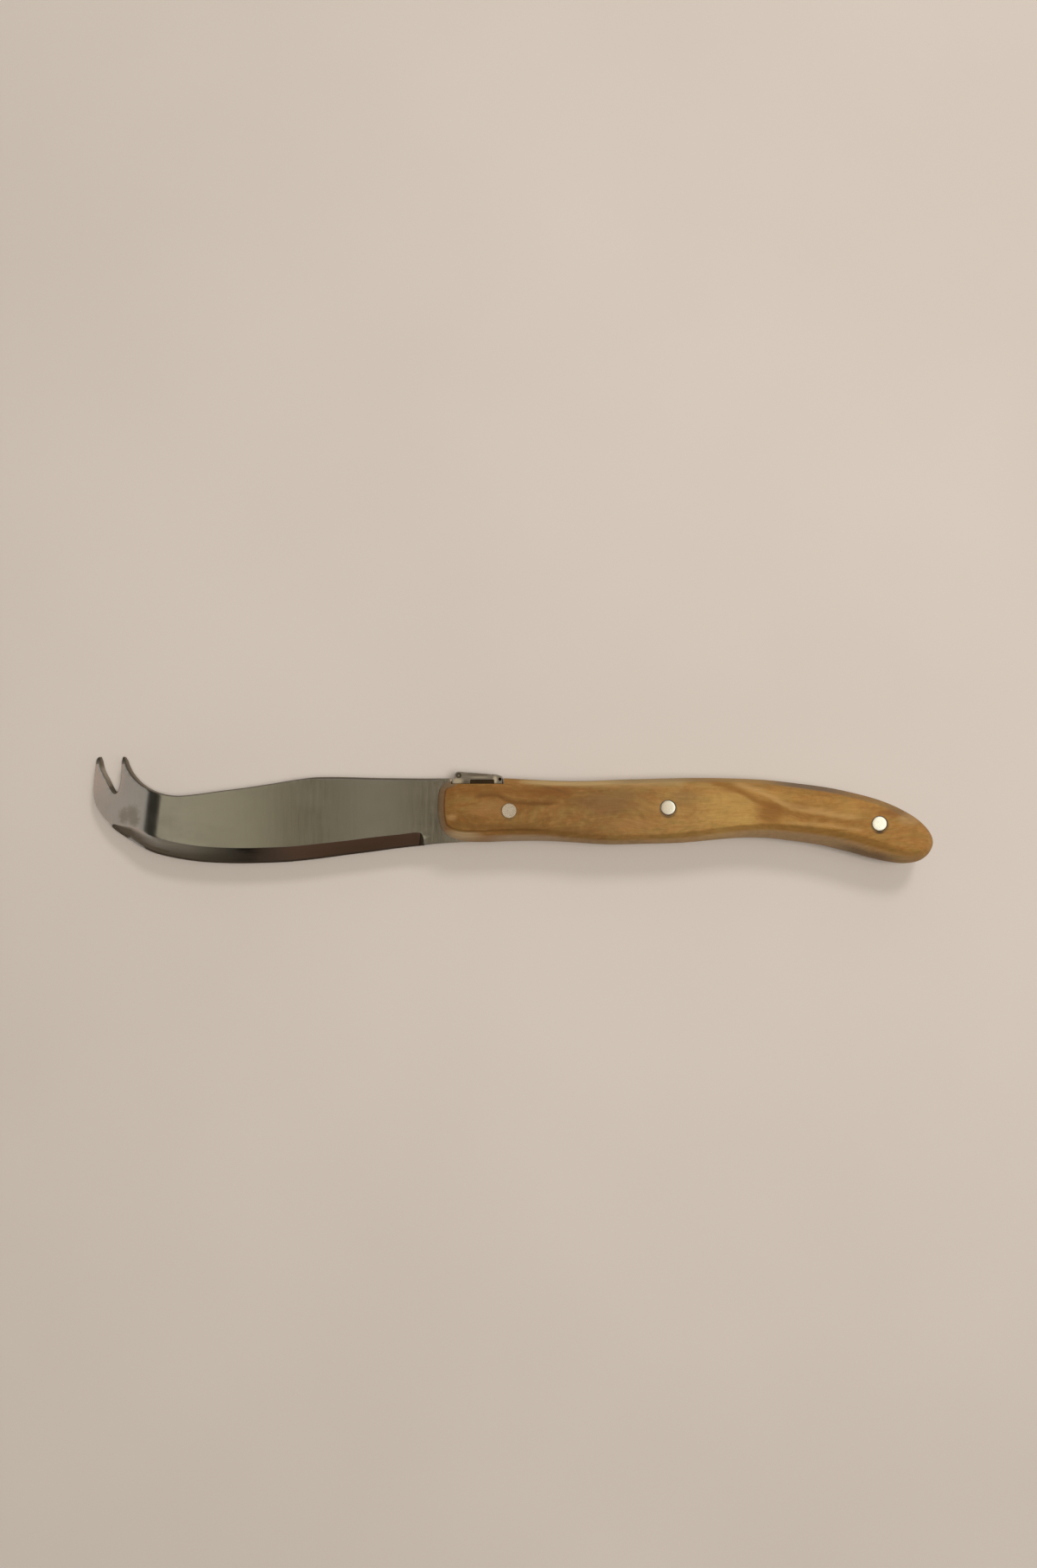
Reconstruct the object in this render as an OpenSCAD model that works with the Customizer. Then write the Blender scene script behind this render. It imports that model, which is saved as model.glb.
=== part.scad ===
// Cheese knife: one stamped steel blade with a full tang and a forked, slightly bent tip,
// two riveted wooden scales and a small scrolled plate let into the spine at the front of the handle.
// It lies on its back scale. +X runs from the fork to the end of the handle, +Y to the spine, +Z up.
// All lengths are millimetres.

/* [Blade] */
// Thickness of the blade and of the tang inside the handle
blade_t = 2; // [1.6:0.1:2.4]
// Thickness left along the ground cutting edge
edge_t = 0.3; // [0.2:0.05:0.6]
// Greatest width of the ground bevel
bevel_w = 4.2; // [3:0.1:5]
// Angle by which the forked tip is bent towards the table
tip_bend = 12; // [4:1:16]
// Radius of that bend, at mid thickness
bend_r = 20; // [14:1:24]
// Depth of the notch between the two tines
fork_depth = 9.8; // [7:0.2:11]

/* [Handle] */
// Thickness of each wooden scale
scale_t = 5; // [4:0.25:6]
// How far the softened edges of the scales reach, as a share of the drawn width
edge_soft = 1; // [0.6:0.05:1.1]
// Roundness of the softened edges: 1 is a flat chamfer, 2 a quarter round
edge_shape = 1.5; // [1:0.1:2]

/* [Rivets] */
// Diameter of the three solid rivets
rivet_d = 4; // [3:0.25:5]
// Place of the rivet nearest the blade, along and across the knife
front_rivet_at = [-1, 0]; // [-6:0.5:6]
// Place of the middle rivet
middle_rivet_at = [40.8, 0.8]; // [-6:0.2:50]
// Place of the rivet near the end of the handle
rear_rivet_at = [96.4, -3.4]; // [-8:0.2:100]

/* [Spine plate] */
// Width of the plate, across the knife's thickness
plate_w = 9; // [6:0.5:9.5]
// Outer diameter of the scroll at the plate's blade end
front_scroll_d = 2; // [1.8:0.1:2.4]
// Outer diameter of the scroll at the plate's handle end
rear_scroll_d = 1.9; // [1.8:0.1:2.4]
// Depth of the darkened panel sunk in each long side of the plate
panel_depth = 0.5; // [0.3:0.1:1]

/* [Hidden] */
$fn = 48;
handle_t = 2 * scale_t + blade_t;
mid_z = scale_t + blade_t / 2;
// Middle of the knife's outline on the drawing, which becomes the origin
centre = [-0.94, 0.06];

// Drawing of the blank, flat: x, y and the share of the full bevel width ground there.
// The spine, from the tang's rear end to the right-hand tine
spine_pts = [
    [111.2, -8.3, 0], [110.25, -5.6, 0], [107.2, -2.4, 0], [102.6, 0.4, 0], [98, 2.4, 0], [93.5, 3.8, 0],
    [84, 5.95, 0], [75, 7.2, 0], [66, 8.15, 0], [56.5, 8.55, 0], [47.5, 8.65, 0], [38, 8.45, 0],
    [29, 8.2, 0], [20, 7.85, 0], [13, 7.85, 0], [6, 8.15, 0], [-1, 8.5, 0], [-8, 8.7, 0], [-14, 8.6, 0],
    [-20, 8.52, 0], [-28, 8.55, 0], [-36, 8.65, 0], [-44, 8.87, 0], [-49, 8.92, 0], [-53, 8.82, 0],
    [-57, 8.35, 0], [-64, 7.2, 0], [-71.5, 6.05, 0], [-79, 5.1, 0], [-85.5, 4.2, 0], [-89.6, 3.9, 0],
    [-92.6, 4.15, 0], [-95.4, 4.9, 0], [-98, 6.1, 0], [-100.4, 7.8, 0], [-102.4, 9.9, 0], [-103.7, 12.1, 0],
    [-104.35, 13.7, 0]];
// Across the ends of the two tines, before the notch between them is cut
tip_pts = [[-104.75, 14.3, 0], [-105.3, 14.4, 0], [-107.5, 14.4, 0], [-109.7, 14.4, 0], [-111.7, 14.4, 0], [-112.3, 14.35, 0], [-112.8, 14, 0]];
// The notch, round at its root and flared at its mouth
notch_pts = [
    [-104.9, 14.9], [-105.25, 14.1], [-105.35, 13.2], [-105.4, 10.6], [-105.6, 7.9], [-105.95, 6.1],
    [-106.5, 4.9], [-106.95, 4.6], [-107.5, 4.95], [-108.2, 5.9], [-109.4, 8.1], [-110.75, 10.4],
    [-111.45, 12.3], [-111.7, 13.5], [-111.9, 14.2], [-112.1, 14.9], [-112.1, 17], [-104.9, 17]];
// The left-hand tine's outside, the cutting edge and the tang's underside
edge_pts = [
    [-113.05, 12.9, 0], [-113.2, 11.2, 0], [-113.5, 7.8, 0], [-113.65, 4.8, 0], [-113.05, 1.75, 0],
    [-111.85, -0.2, 0], [-110.55, -1.85, 0], [-108.85, -3.45, 0], [-107.2, -5.2, 0.35], [-105.1, -6.65, 0.6],
    [-103, -7.95, 0.85], [-101, -9.1, 1], [-99, -10.1, 1], [-97, -11, 1], [-95, -11.7, 1], [-91.8, -12.5, 1],
    [-88, -13.2, 1], [-84.3, -13.7, 1], [-80.5, -14, 1], [-75, -14.2, 1], [-71, -14.2, 1], [-67, -14.1, 1],
    [-60, -13.8, 1], [-53, -13.1, 1], [-45.5, -12.1, 0.95], [-38, -11.15, 0.95], [-31, -10.2, 0.9],
    [-25.7, -9.6, 0.88], [-24.7, -9.5, 0.75], [-23.9, -9.4, 0.3], [-23.5, -9.35, 0], [-22, -9.15, 0],
    [-18, -8.75, 0], [-13, -8.5, 0], [-7.5, -8.35, 0], [0, -8.1, 0], [8, -8.05, 0], [16, -8.4, 0],
    [25, -8.95, 0], [34, -8.8, 0], [45, -8.5, 0], [54, -7.7, 0], [61, -7.2, 0], [68, -7.35, 0],
    [75, -8.15, 0], [82, -9.2, 0], [88.8, -10.8, 0], [94.3, -12.3, 0], [99.5, -13.55, 0], [104.5, -14, 0],
    [108.2, -13.1, 0], [110.4, -11, 0]];
// Outline of a scale: x, y and the width of its softened edge there
scale_pts = [
    [-17.9, 7.3, 2.0], [-16.2, 7.75, 1.9], [-13.5, 8.45, 1.7], [-8, 8.7, 1.6], [-1, 8.5, 1.6], [6, 8.15, 1.8], [13, 7.85, 1.85],
    [20, 7.85, 1.8], [29, 8.2, 1.7], [38, 8.45, 1.7], [47.5, 8.65, 1.7], [56.5, 8.55, 1.7], [66, 8.15, 1.8],
    [75, 7.2, 1.9], [84, 5.95, 2], [93.5, 3.8, 2.2], [98, 2.4, 2.3], [102.6, 0.4, 2.5], [107.2, -2.4, 2.6],
    [110.25, -5.6, 2.7], [111.2, -8.3, 2.8], [110.4, -11, 3.2], [108.2, -13.1, 3.8], [104.5, -14, 4.2],
    [99.5, -13.55, 4.9], [94.3, -12.3, 5.2], [88.8, -10.8, 5.2], [82, -9.2, 4.9], [75, -8.15, 4.5],
    [68, -7.35, 4.2], [61, -7.2, 3.8], [54, -7.7, 3.5], [45, -8.5, 3.1], [34, -8.8, 2.8], [25, -8.95, 2.7],
    [16, -8.4, 2.9], [8, -8.05, 3.4], [0, -8.1, 3.6], [-7.5, -8.35, 3.6], [-12.8, -8.1, 3.3],
    [-16.4, -7, 2.9], [-18.9, -4.9, 2.5], [-19.7, -2, 2.3], [-19.9, 1.5, 2.3], [-19.7, 4.3, 2.3],
    [-19.2, 6.05, 2.2]];

// Notch for the plate in the top of the handle, and the plate's own side view
plate_from = -16.3;
plate_to = -2.4;
seat_y = 7.1;
front_scroll_at = [-14.3, 9.3];
rear_scroll_at = [-3.6, 8.35];
tongue = [[-11.3, seat_y], [-12, 5.1], [-6, 5.1], [-6.7, seat_y]];

// Line about which the tip is bent: a point on it, its direction and the direction towards the tip
bend_at = [-96.6, -1];
bend_lean = 7.3;
along = [sin(bend_lean), cos(bend_lean)];
outward = [-cos(bend_lean), sin(bend_lean)];
bend_steps = 6;
bend_len = bend_r * tip_bend * PI / 180;

function xy(p) = [p[0], p[1]];
function knot(a, b) = sqrt(norm(xy(b) - xy(a)));
function blend_pt(a, b, ta, tb, t) = ((tb - t) * a + (t - ta) * b) / (tb - ta);
// Centripetal Catmull-Rom point between b and c, u from 0 to 1
function spline_pt(a, b, c, d, u) =
    let (t1 = knot(a, b), t2 = t1 + knot(b, c), t3 = t2 + knot(c, d), t = t1 + u * (t2 - t1),
         p = blend_pt(a, b, 0, t1, t), q = blend_pt(b, c, t1, t2, t), r = blend_pt(c, d, t2, t3, t),
         v = blend_pt(p, q, 0, t2, t), w = blend_pt(q, r, t1, t3, t))
    blend_pt(v, w, t1, t2, t);
// Closed smooth curve through the points, with m short chords from each to the next
function closed_curve(pts, m) =
    let (n = len(pts))
    [for (i = [0 : n - 1]) for (j = [0 : m - 1])
        spline_pt(pts[(i + n - 1) % n], pts[i], pts[(i + 1) % n], pts[(i + 2) % n], j / m)];

// Notch points are stretched along y so that the notch has the chosen depth
notch_drawn = [for (p = notch_pts) p[1] < 13 ? [p[0], 14.4 - (14.4 - p[1]) * fork_depth / 9.8] : p];
blank = closed_curve(concat(spine_pts, tip_pts, edge_pts), 3);
n_blank = len(blank);

function out_of_bend(p) = (xy(p) - bend_at) * outward;
bend_from = -bend_len / 2;
function step_s(j) = bend_from + bend_len * j / bend_steps;
clear = 0.12;
// Points of the blank by region, in drawing order: along the spine, round the tip, along the edge
function first_past(i) = out_of_bend(blank[i]) > step_s(bend_steps) ? i : first_past(i + 1);
function last_past(i) = out_of_bend(blank[i]) > step_s(bend_steps) ? i : last_past(i - 1);
i_tip = first_past(0);
j_tip = last_past(n_blank - 1);
upper_flat = [for (i = [0 : i_tip - 1]) if (out_of_bend(blank[i]) < bend_from - clear) blank[i]];
tip_part = [for (i = [i_tip : j_tip]) if (out_of_bend(blank[i]) > step_s(bend_steps) + clear) blank[i]];
lower_flat = [for (i = [j_tip + 1 : n_blank - 1]) if (out_of_bend(blank[i]) < bend_from - clear) blank[i]];
function crossing(from, to, s) =
    [for (i = [from : to - 1])
        let (a = out_of_bend(blank[i]), b = out_of_bend(blank[i + 1]))
        if ((a - s) * (b - s) <= 0 && a != b) blank[i] + (blank[i + 1] - blank[i]) * ((s - a) / (b - a))][0];
upper_bend = [for (j = [0 : bend_steps]) crossing(i_tip - 30, i_tip + 1, step_s(j))];
lower_bend = [for (j = [bend_steps : -1 : 0]) crossing(j_tip - 1, j_tip + 30, step_s(j))];
ring = concat(upper_flat, upper_bend, tip_part, lower_bend, lower_flat);
n_ring = len(ring);
n_up = len(upper_flat);
n_tip = len(tip_part);

// Place in space of a point of the flat blank at height z over mid thickness
function bent(p, z) =
    let (s = out_of_bend(p), w = (xy(p) - bend_at) * along,
         a = max(0, min(1, (s - bend_from) / bend_len)) * tip_bend,
         past = max(0, s - bend_from - bend_len),
         flat_s = min(s, bend_from),
         s2 = flat_s + (bend_r + z) * sin(a) + past * cos(a),
         z2 = (bend_r + z) * cos(a) - bend_r - past * sin(a))
    [bend_at[0] + along[0] * w + outward[0] * s2, bend_at[1] + along[1] * w + outward[1] * s2, z2];

function share(i) = min(1, ring[i][2]);
function ground(i) = share(i) > 0.02;
function edge_z(i) = ground(i) ? blade_t / 2 - (blade_t - edge_t) / 2 * min(1, share(i) / 0.85) : blade_t / 2;
function bevel_top(i) = xy(ring[i]) + along * bevel_w * share(i);
// Rows of vertices: edge top, bevel top, edge bottom, bevel bottom
blade_verts = concat(
    [for (i = [0 : n_ring - 1]) bent(ring[i], edge_z(i))],
    [for (i = [0 : n_ring - 1]) ground(i) ? bent(bevel_top(i), blade_t / 2) : bent(ring[i], edge_z(i))],
    [for (i = [0 : n_ring - 1]) bent(ring[i], -edge_z(i))],
    [for (i = [0 : n_ring - 1]) ground(i) ? bent(bevel_top(i), -blade_t / 2) : bent(ring[i], -edge_z(i))]);
function hi(i) = ground(i) ? n_ring + i : i;
function lo(i) = ground(i) ? 3 * n_ring + i : 2 * n_ring + i;
i_l = n_up + bend_steps + 1 + n_tip;
// Triangles between two chains of the ring's points, the chain on the left hand side first
function apart(p, i, k) = norm(xy(p[i]) - xy(p[k]));
function zip(p, a, b, i = 0, j = 0) =
    i == len(a) - 1 && j == len(b) - 1 ? [] :
    j == len(b) - 1 || (i < len(a) - 1 && apart(p, a[i + 1], b[j]) <= apart(p, a[i], b[j + 1])) ?
        concat([[a[i], b[j], a[i + 1]]], zip(p, a, b, i + 1, j)) :
        concat([[a[i], b[j], b[j + 1]]], zip(p, a, b, i, j + 1));
function whole(tris) = [for (t = tris) if (t[0] != t[1] && t[1] != t[2] && t[0] != t[2]) t];
function turned(list) = [for (i = [len(list) - 1 : -1 : 0]) list[i]];
// Where the two chains round the tip meet, at the end of the left-hand tine
function meet(i) = norm(xy(ring[i]) - [-112.3, 14.35]) < 0.01 ? i : meet(i + 1);
i_meet = meet(n_up);
top_tris = whole(concat(
    zip(ring, [for (i = [n_up : -1 : 0]) i], concat([for (i = [i_l + bend_steps : n_ring - 1]) i], [0])),
    zip(ring, [for (i = [i_l : -1 : i_meet]) i], [for (i = [n_up + bend_steps : i_meet]) i])));
strips = [for (j = [0 : bend_steps - 1]) [n_up + j, n_up + j + 1, i_l + bend_steps - j - 1, i_l + bend_steps - j]];
blade_faces = concat(
    [for (s = concat(top_tris, strips)) [for (i = turned(s)) hi(i)]],
    [for (s = concat(top_tris, strips)) [for (i = s) lo(i)]],
    [for (i = [0 : n_ring - 1]) let (k = (i + 1) % n_ring) [i, k, 2 * n_ring + k]],
    [for (i = [0 : n_ring - 1]) let (k = (i + 1) % n_ring) [i, 2 * n_ring + k, 2 * n_ring + i]],
    [for (i = [0 : n_ring - 1]) let (k = (i + 1) % n_ring) if (ground(i)) [i, n_ring + i, hi(k)]],
    [for (i = [0 : n_ring - 1]) let (k = (i + 1) % n_ring) if (ground(k)) [i, hi(k), k]],
    [for (i = [0 : n_ring - 1]) let (k = (i + 1) % n_ring) if (ground(i)) [2 * n_ring + i, lo(k), 3 * n_ring + i]],
    [for (i = [0 : n_ring - 1]) let (k = (i + 1) % n_ring) if (ground(k)) [2 * n_ring + i, 2 * n_ring + k, lo(k)]]);

// One scale as a stack of rings, from its flat inside at z = 0 to its outer face at z = scale_t
scale_ring = closed_curve(scale_pts, 4);
n_scale = len(scale_ring);
edge_steps = 5;
function inward(i) =
    let (a = xy(scale_ring[(i + n_scale - 1) % n_scale]), b = xy(scale_ring[(i + 1) % n_scale]), d = (b - a) / norm(b - a))
    [d[1], -d[0]];
function soft_w(i) = scale_ring[i][2] * edge_soft;
function soft_d(i) = min(0.8 * soft_w(i), scale_t - 1.6);
function scale_vert(i, j) =
    let (f = 90 * j / edge_steps, e = 2 / edge_shape,
         across = 1 - pow(max(0, cos(f)), e), up = pow(max(0, sin(f)), e), p = xy(scale_ring[i]) + inward(i) * soft_w(i) * across)
    [p[0], p[1], scale_t - soft_d(i) * (1 - up)];
scale_verts = concat(
    [for (i = [0 : n_scale - 1]) [scale_ring[i][0], scale_ring[i][1], 0]],
    [for (j = [0 : edge_steps]) for (i = [0 : n_scale - 1]) scale_vert(i, j)]);
function place(pts, x, i = 0) = abs(pts[i][0] - x) < 0.001 ? i : place(pts, x, i + 1);
i_front = place(scale_ring, -19.9);
i_rear = place(scale_ring, 111.2);
cap_tris = whole(zip(scale_ring, concat([for (i = [i_front : n_scale - 1]) i], [for (i = [0 : i_rear]) i]),
    [for (i = [i_front : -1 : i_rear]) i]));
scale_faces = concat(
    cap_tris,
    [for (t = cap_tris) [for (i = turned(t)) (edge_steps + 1) * n_scale + i]],
    [for (j = [0 : edge_steps]) for (i = [0 : n_scale - 1])
        let (k = (i + 1) % n_scale) [j * n_scale + i, (j + 1) * n_scale + k, (j + 1) * n_scale + i]],
    [for (j = [0 : edge_steps]) for (i = [0 : n_scale - 1])
        let (k = (i + 1) % n_scale) [j * n_scale + i, j * n_scale + k, (j + 1) * n_scale + k]]);

module to_origin() {
    translate([-centre[0], -centre[1], 0]) children();
}

module rivet_bores() {
    for (at = [front_rivet_at, middle_rivet_at, rear_rivet_at])
        translate([at[0], at[1], -1]) rotate(17) cylinder(d = rivet_d, h = handle_t + 2);
}

module plate_notch() {
    translate([plate_from, seat_y, -1]) cube([plate_to - plate_from, 6, handle_t + 2]);
}

// Puts what is drawn on the flat blank's tip, at mid thickness, where the bend carries it
module on_tip() {
    at = [-110, 5];
    o = bent(at, 0);
    ex = bent(at + [1, 0], 0) - o;
    ey = bent(at + [0, 1], 0) - o;
    ez = bent(at, 1) - o;
    t = o - ex * at[0] - ey * at[1];
    multmatrix([[ex[0], ey[0], ez[0], t[0]], [ex[1], ey[1], ez[1], t[1]], [ex[2], ey[2], ez[2], t[2]], [0, 0, 0, 1]]) children();
}

module blade() {
    color("#8f8d80") to_origin() difference() {
        translate([0, 0, mid_z]) polyhedron(blade_verts, blade_faces, convexity = 8);
        translate([0, 0, mid_z]) on_tip() translate([0, 0, -3]) linear_extrude(6) polygon(closed_curve(notch_drawn, 3));
        rivet_bores();
        translate([0, 0, scale_t - 1]) linear_extrude(blade_t + 2)
            polygon(concat([[plate_from, 14], [plate_from, seat_y]], tongue, [[plate_to, seat_y], [plate_to, 14]]));
    }
}

// The front scale in its place; the back one is its mirror image about mid thickness
module scale_body() {
    difference() {
        translate([0, 0, scale_t + blade_t]) polyhedron(scale_verts, scale_faces, convexity = 4);
        rivet_bores();
        plate_notch();
    }
}

module front_scale() {
    color("#9a6a2f") to_origin() scale_body();
}

module back_scale() {
    color("#94642c") to_origin() translate([0, 0, handle_t]) mirror([0, 0, 1]) scale_body();
}

module rivet(at) {
    color("#e6e4dc") to_origin() translate([at[0], at[1], 0]) cylinder(d = rivet_d, h = handle_t);
}

module front_rivet() { rivet(front_rivet_at); }
module middle_rivet() { rivet(middle_rivet_at); }
module rear_rivet() { rivet(rear_rivet_at); }

// The plate: a bar with a scroll at each end, a sunk panel and a ringed eye in each long side, filed
// lines across its top and a dovetail tongue that the tang's notch holds between the scales
module spine_plate() {
    color("#8d9194") to_origin() difference() {
        union() {
            translate([0, 0, mid_z - plate_w / 2]) linear_extrude(plate_w) {
                polygon([[-16.1, seat_y], [-2.8, seat_y], [-2.7, 8.2], [-3.3, 9.25], [-4.4, 9.55], [-14.3, 10.3],
                    [-15.25, 9.2], [-15.7, 8.3], [-16.1, 7.7]]);
                translate(front_scroll_at) circle(d = front_scroll_d);
                translate(rear_scroll_at) circle(d = rear_scroll_d);
            }
            translate([0, 0, scale_t]) linear_extrude(blade_t) polygon(concat(tongue, [[-6.7, 8.2], [-11.3, 8.2]]));
        }
        for (side = [-1, 1]) translate([0, 0, mid_z + side * plate_w / 2]) {
            translate([-11.3, seat_y - 1, -panel_depth]) cube([6.4, 2.3, 2 * panel_depth]);
            translate([front_scroll_at[0], front_scroll_at[1], -panel_depth]) difference() {
                cylinder(d = 1.4, h = 2 * panel_depth);
                translate([0, 0, -1]) cylinder(d = 0.6, h = 2 * panel_depth + 2);
            }
            translate([rear_scroll_at[0], rear_scroll_at[1], -panel_depth]) cylinder(d = 1.1, h = 2 * panel_depth);
        }
        for (x = [-12.6, -12, -6.3, -5.7])
            translate([x, 10.3 + (x + 14.3) * -0.0758, mid_z - plate_w / 2 - 1]) cylinder(d = 0.35, h = plate_w + 2, $fn = 16);
    }
}

blade();
front_scale();
back_scale();
front_rivet();
middle_rivet();
rear_rivet();
spine_plate();
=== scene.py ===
import math

import bmesh
import bpy
import numpy as np
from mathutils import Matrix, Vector
from mathutils.geometry import delaunay_2d_cdt


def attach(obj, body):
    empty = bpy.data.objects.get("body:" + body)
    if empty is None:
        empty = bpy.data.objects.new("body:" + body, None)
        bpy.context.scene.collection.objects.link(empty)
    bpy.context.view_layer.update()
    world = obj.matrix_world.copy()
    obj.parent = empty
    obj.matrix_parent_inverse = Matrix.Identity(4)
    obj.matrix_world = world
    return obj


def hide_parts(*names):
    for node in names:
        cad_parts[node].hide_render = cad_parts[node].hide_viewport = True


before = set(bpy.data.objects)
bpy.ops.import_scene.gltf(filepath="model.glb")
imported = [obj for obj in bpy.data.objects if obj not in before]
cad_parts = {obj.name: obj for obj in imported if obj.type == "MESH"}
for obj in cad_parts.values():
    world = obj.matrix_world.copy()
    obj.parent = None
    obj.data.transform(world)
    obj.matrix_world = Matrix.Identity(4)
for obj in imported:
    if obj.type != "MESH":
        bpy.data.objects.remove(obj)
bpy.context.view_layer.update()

# ---------------------------------------------------------------- drawing
# The CAD model's own drawing, in millimetres: x, y and the share of the ground bevel, or for a
# scale the width of its softened edge. The knife lies on its back scale: z = 0 is the table.
BLADE_T, EDGE_T, BEVEL_W = 2.0, 0.3, 4.2
TIP_BEND, BEND_R = 12.0, 24.0
SCALE_T, HANDLE_T, MID_Z = 5.0, 12.0, 6.0
CENTRE = (-0.94, 0.06)
RIVETS = {"front": (-1.0, 0.0), "middle": (40.8, 0.8), "rear": (96.4, -3.4)}
RIVET_R = 2.0

SPINE = [
    (111.2, -8.3, 0), (110.25, -5.6, 0), (107.2, -2.4, 0), (102.6, 0.4, 0), (98, 2.4, 0), (93.5, 3.8, 0),
    (84, 5.95, 0), (75, 7.2, 0), (66, 8.15, 0), (56.5, 8.55, 0), (47.5, 8.65, 0), (38, 8.45, 0),
    (29, 8.2, 0), (20, 7.85, 0), (13, 7.85, 0), (6, 8.15, 0), (-1, 8.5, 0), (-8, 8.7, 0), (-14, 8.6, 0),
    (-20, 8.52, 0), (-28, 8.55, 0), (-36, 8.65, 0), (-44, 8.87, 0), (-49, 8.92, 0), (-53, 8.82, 0),
    (-57, 8.35, 0), (-64, 7.2, 0), (-71.5, 6.05, 0), (-79, 5.1, 0), (-85.5, 4.2, 0), (-89.6, 3.9, 0),
    (-92.6, 4.15, 0), (-95.4, 4.9, 0), (-98, 6.1, 0), (-100.4, 7.8, 0), (-102.4, 9.9, 0), (-103.7, 12.1, 0),
    (-104.35, 13.7, 0)]
TIP = [(-104.75, 14.3, 0), (-105.3, 14.4, 0), (-107.5, 14.4, 0), (-109.7, 14.4, 0), (-111.7, 14.4, 0),
       (-112.3, 14.35, 0), (-112.8, 14, 0)]
NOTCH = [
    (-104.9, 14.9), (-105.25, 14.1), (-105.35, 13.2), (-105.4, 10.6), (-105.6, 7.9), (-105.95, 6.1),
    (-106.5, 4.9), (-106.95, 4.6), (-107.5, 4.95), (-108.2, 5.9), (-109.4, 8.1), (-110.75, 10.4),
    (-111.45, 12.3), (-111.7, 13.5), (-111.9, 14.2), (-112.1, 14.9), (-112.1, 17), (-104.9, 17)]
EDGE = [
    (-113.05, 12.9, 0), (-113.2, 11.2, 0), (-113.5, 7.8, 0), (-113.65, 4.8, 0), (-113.05, 1.75, 0),
    (-111.85, -0.2, 0), (-110.55, -1.85, 0), (-108.85, -3.45, 0), (-107.2, -5.2, 0.35), (-105.1, -6.65, 0.6),
    (-103, -7.95, 0.85), (-101, -9.1, 1), (-99, -10.1, 1), (-97, -11, 1), (-95, -11.7, 1), (-91.8, -12.5, 1),
    (-88, -13.2, 1), (-84.3, -13.7, 1), (-80.5, -14, 1), (-75, -14.2, 1), (-71, -14.2, 1), (-67, -14.1, 1),
    (-60, -13.8, 1), (-53, -13.1, 1), (-45.5, -12.1, 0.95), (-38, -11.15, 0.95), (-31, -10.2, 0.9),
    (-25.7, -9.6, 0.88), (-24.7, -9.5, 0.75), (-23.9, -9.4, 0.3), (-23.5, -9.35, 0), (-22, -9.15, 0),
    (-18, -8.75, 0), (-13, -8.5, 0), (-7.5, -8.35, 0), (0, -8.1, 0), (8, -8.05, 0), (16, -8.4, 0),
    (25, -8.95, 0), (34, -8.8, 0), (45, -8.5, 0), (54, -7.7, 0), (61, -7.2, 0), (68, -7.35, 0),
    (75, -8.15, 0), (82, -9.2, 0), (88.8, -10.8, 0), (94.3, -12.3, 0), (99.5, -13.55, 0), (104.5, -14, 0),
    (108.2, -13.1, 0), (110.4, -11, 0)]
SCALE = [
    (-17.9, 7.3, 2.0), (-16.2, 7.75, 1.9), (-13.5, 8.45, 1.7), (-8, 8.7, 1.6), (-1, 8.5, 1.6), (6, 8.15, 1.8), (13, 7.85, 1.85),
    (20, 7.85, 1.8), (29, 8.2, 1.7), (38, 8.45, 1.7), (47.5, 8.65, 1.7), (56.5, 8.55, 1.7), (66, 8.15, 1.8),
    (75, 7.2, 1.9), (84, 5.95, 2), (93.5, 3.8, 2.2), (98, 2.4, 2.3), (102.6, 0.4, 2.5), (107.2, -2.4, 2.6),
    (110.25, -5.6, 2.7), (111.2, -8.3, 2.8), (110.4, -11, 3.2), (108.2, -13.1, 3.8), (104.5, -14, 4.2),
    (99.5, -13.55, 4.9), (94.3, -12.3, 5.2), (88.8, -10.8, 5.2), (82, -9.2, 4.9), (75, -8.15, 4.5),
    (68, -7.35, 4.2), (61, -7.2, 3.8), (54, -7.7, 3.5), (45, -8.5, 3.1), (34, -8.8, 2.8), (25, -8.95, 2.7),
    (16, -8.4, 2.9), (8, -8.05, 3.4), (0, -8.1, 3.6), (-7.5, -8.35, 3.6), (-12.8, -8.1, 3.3),
    (-16.4, -7, 2.9), (-18.9, -4.9, 2.5), (-19.7, -2, 2.3), (-19.9, 1.5, 2.3), (-19.7, 4.3, 2.3),
    (-19.2, 6.05, 2.2)]
SEAT_Y, SEAT_FROM, SEAT_TO = 7.1, -16.3, -2.4
TONGUE = [(-11.3, SEAT_Y), (-12, 5.1), (-6, 5.1), (-6.7, SEAT_Y)]

BEND_AT = np.array((-96.6, -1.0))
LEAN = math.radians(7.3)
ALONG = np.array((math.sin(LEAN), math.cos(LEAN)))
OUTWARD = np.array((-math.cos(LEAN), math.sin(LEAN)))
BEND_LEN = BEND_R * math.radians(TIP_BEND)
BEND_FROM = -BEND_LEN / 2


def closed_curve(points, m):
    """Closed smooth curve through the points, m short chords from each to the next."""
    pts = [np.array(p, float) for p in points]
    n, out = len(pts), []

    def knot(a, b):
        return math.sqrt(math.dist(a[:2], b[:2]))

    for i in range(n):
        a, b, c, d = (pts[(i + k - 1) % n] for k in range(4))
        t1 = knot(a, b)
        t2 = t1 + knot(b, c)
        t3 = t2 + knot(c, d)
        for j in range(m):
            t = t1 + j / m * (t2 - t1)
            p = ((t1 - t) * a + t * b) / t1
            q = ((t2 - t) * b + (t - t1) * c) / (t2 - t1)
            r = ((t3 - t) * c + (t - t2) * d) / (t3 - t2)
            v = ((t2 - t) * p + t * q) / t2
            w = ((t3 - t) * q + (t - t1) * r) / (t3 - t1)
            out.append(((t2 - t) * v + (t - t1) * w) / (t2 - t1))
    return np.array(out)


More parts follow.
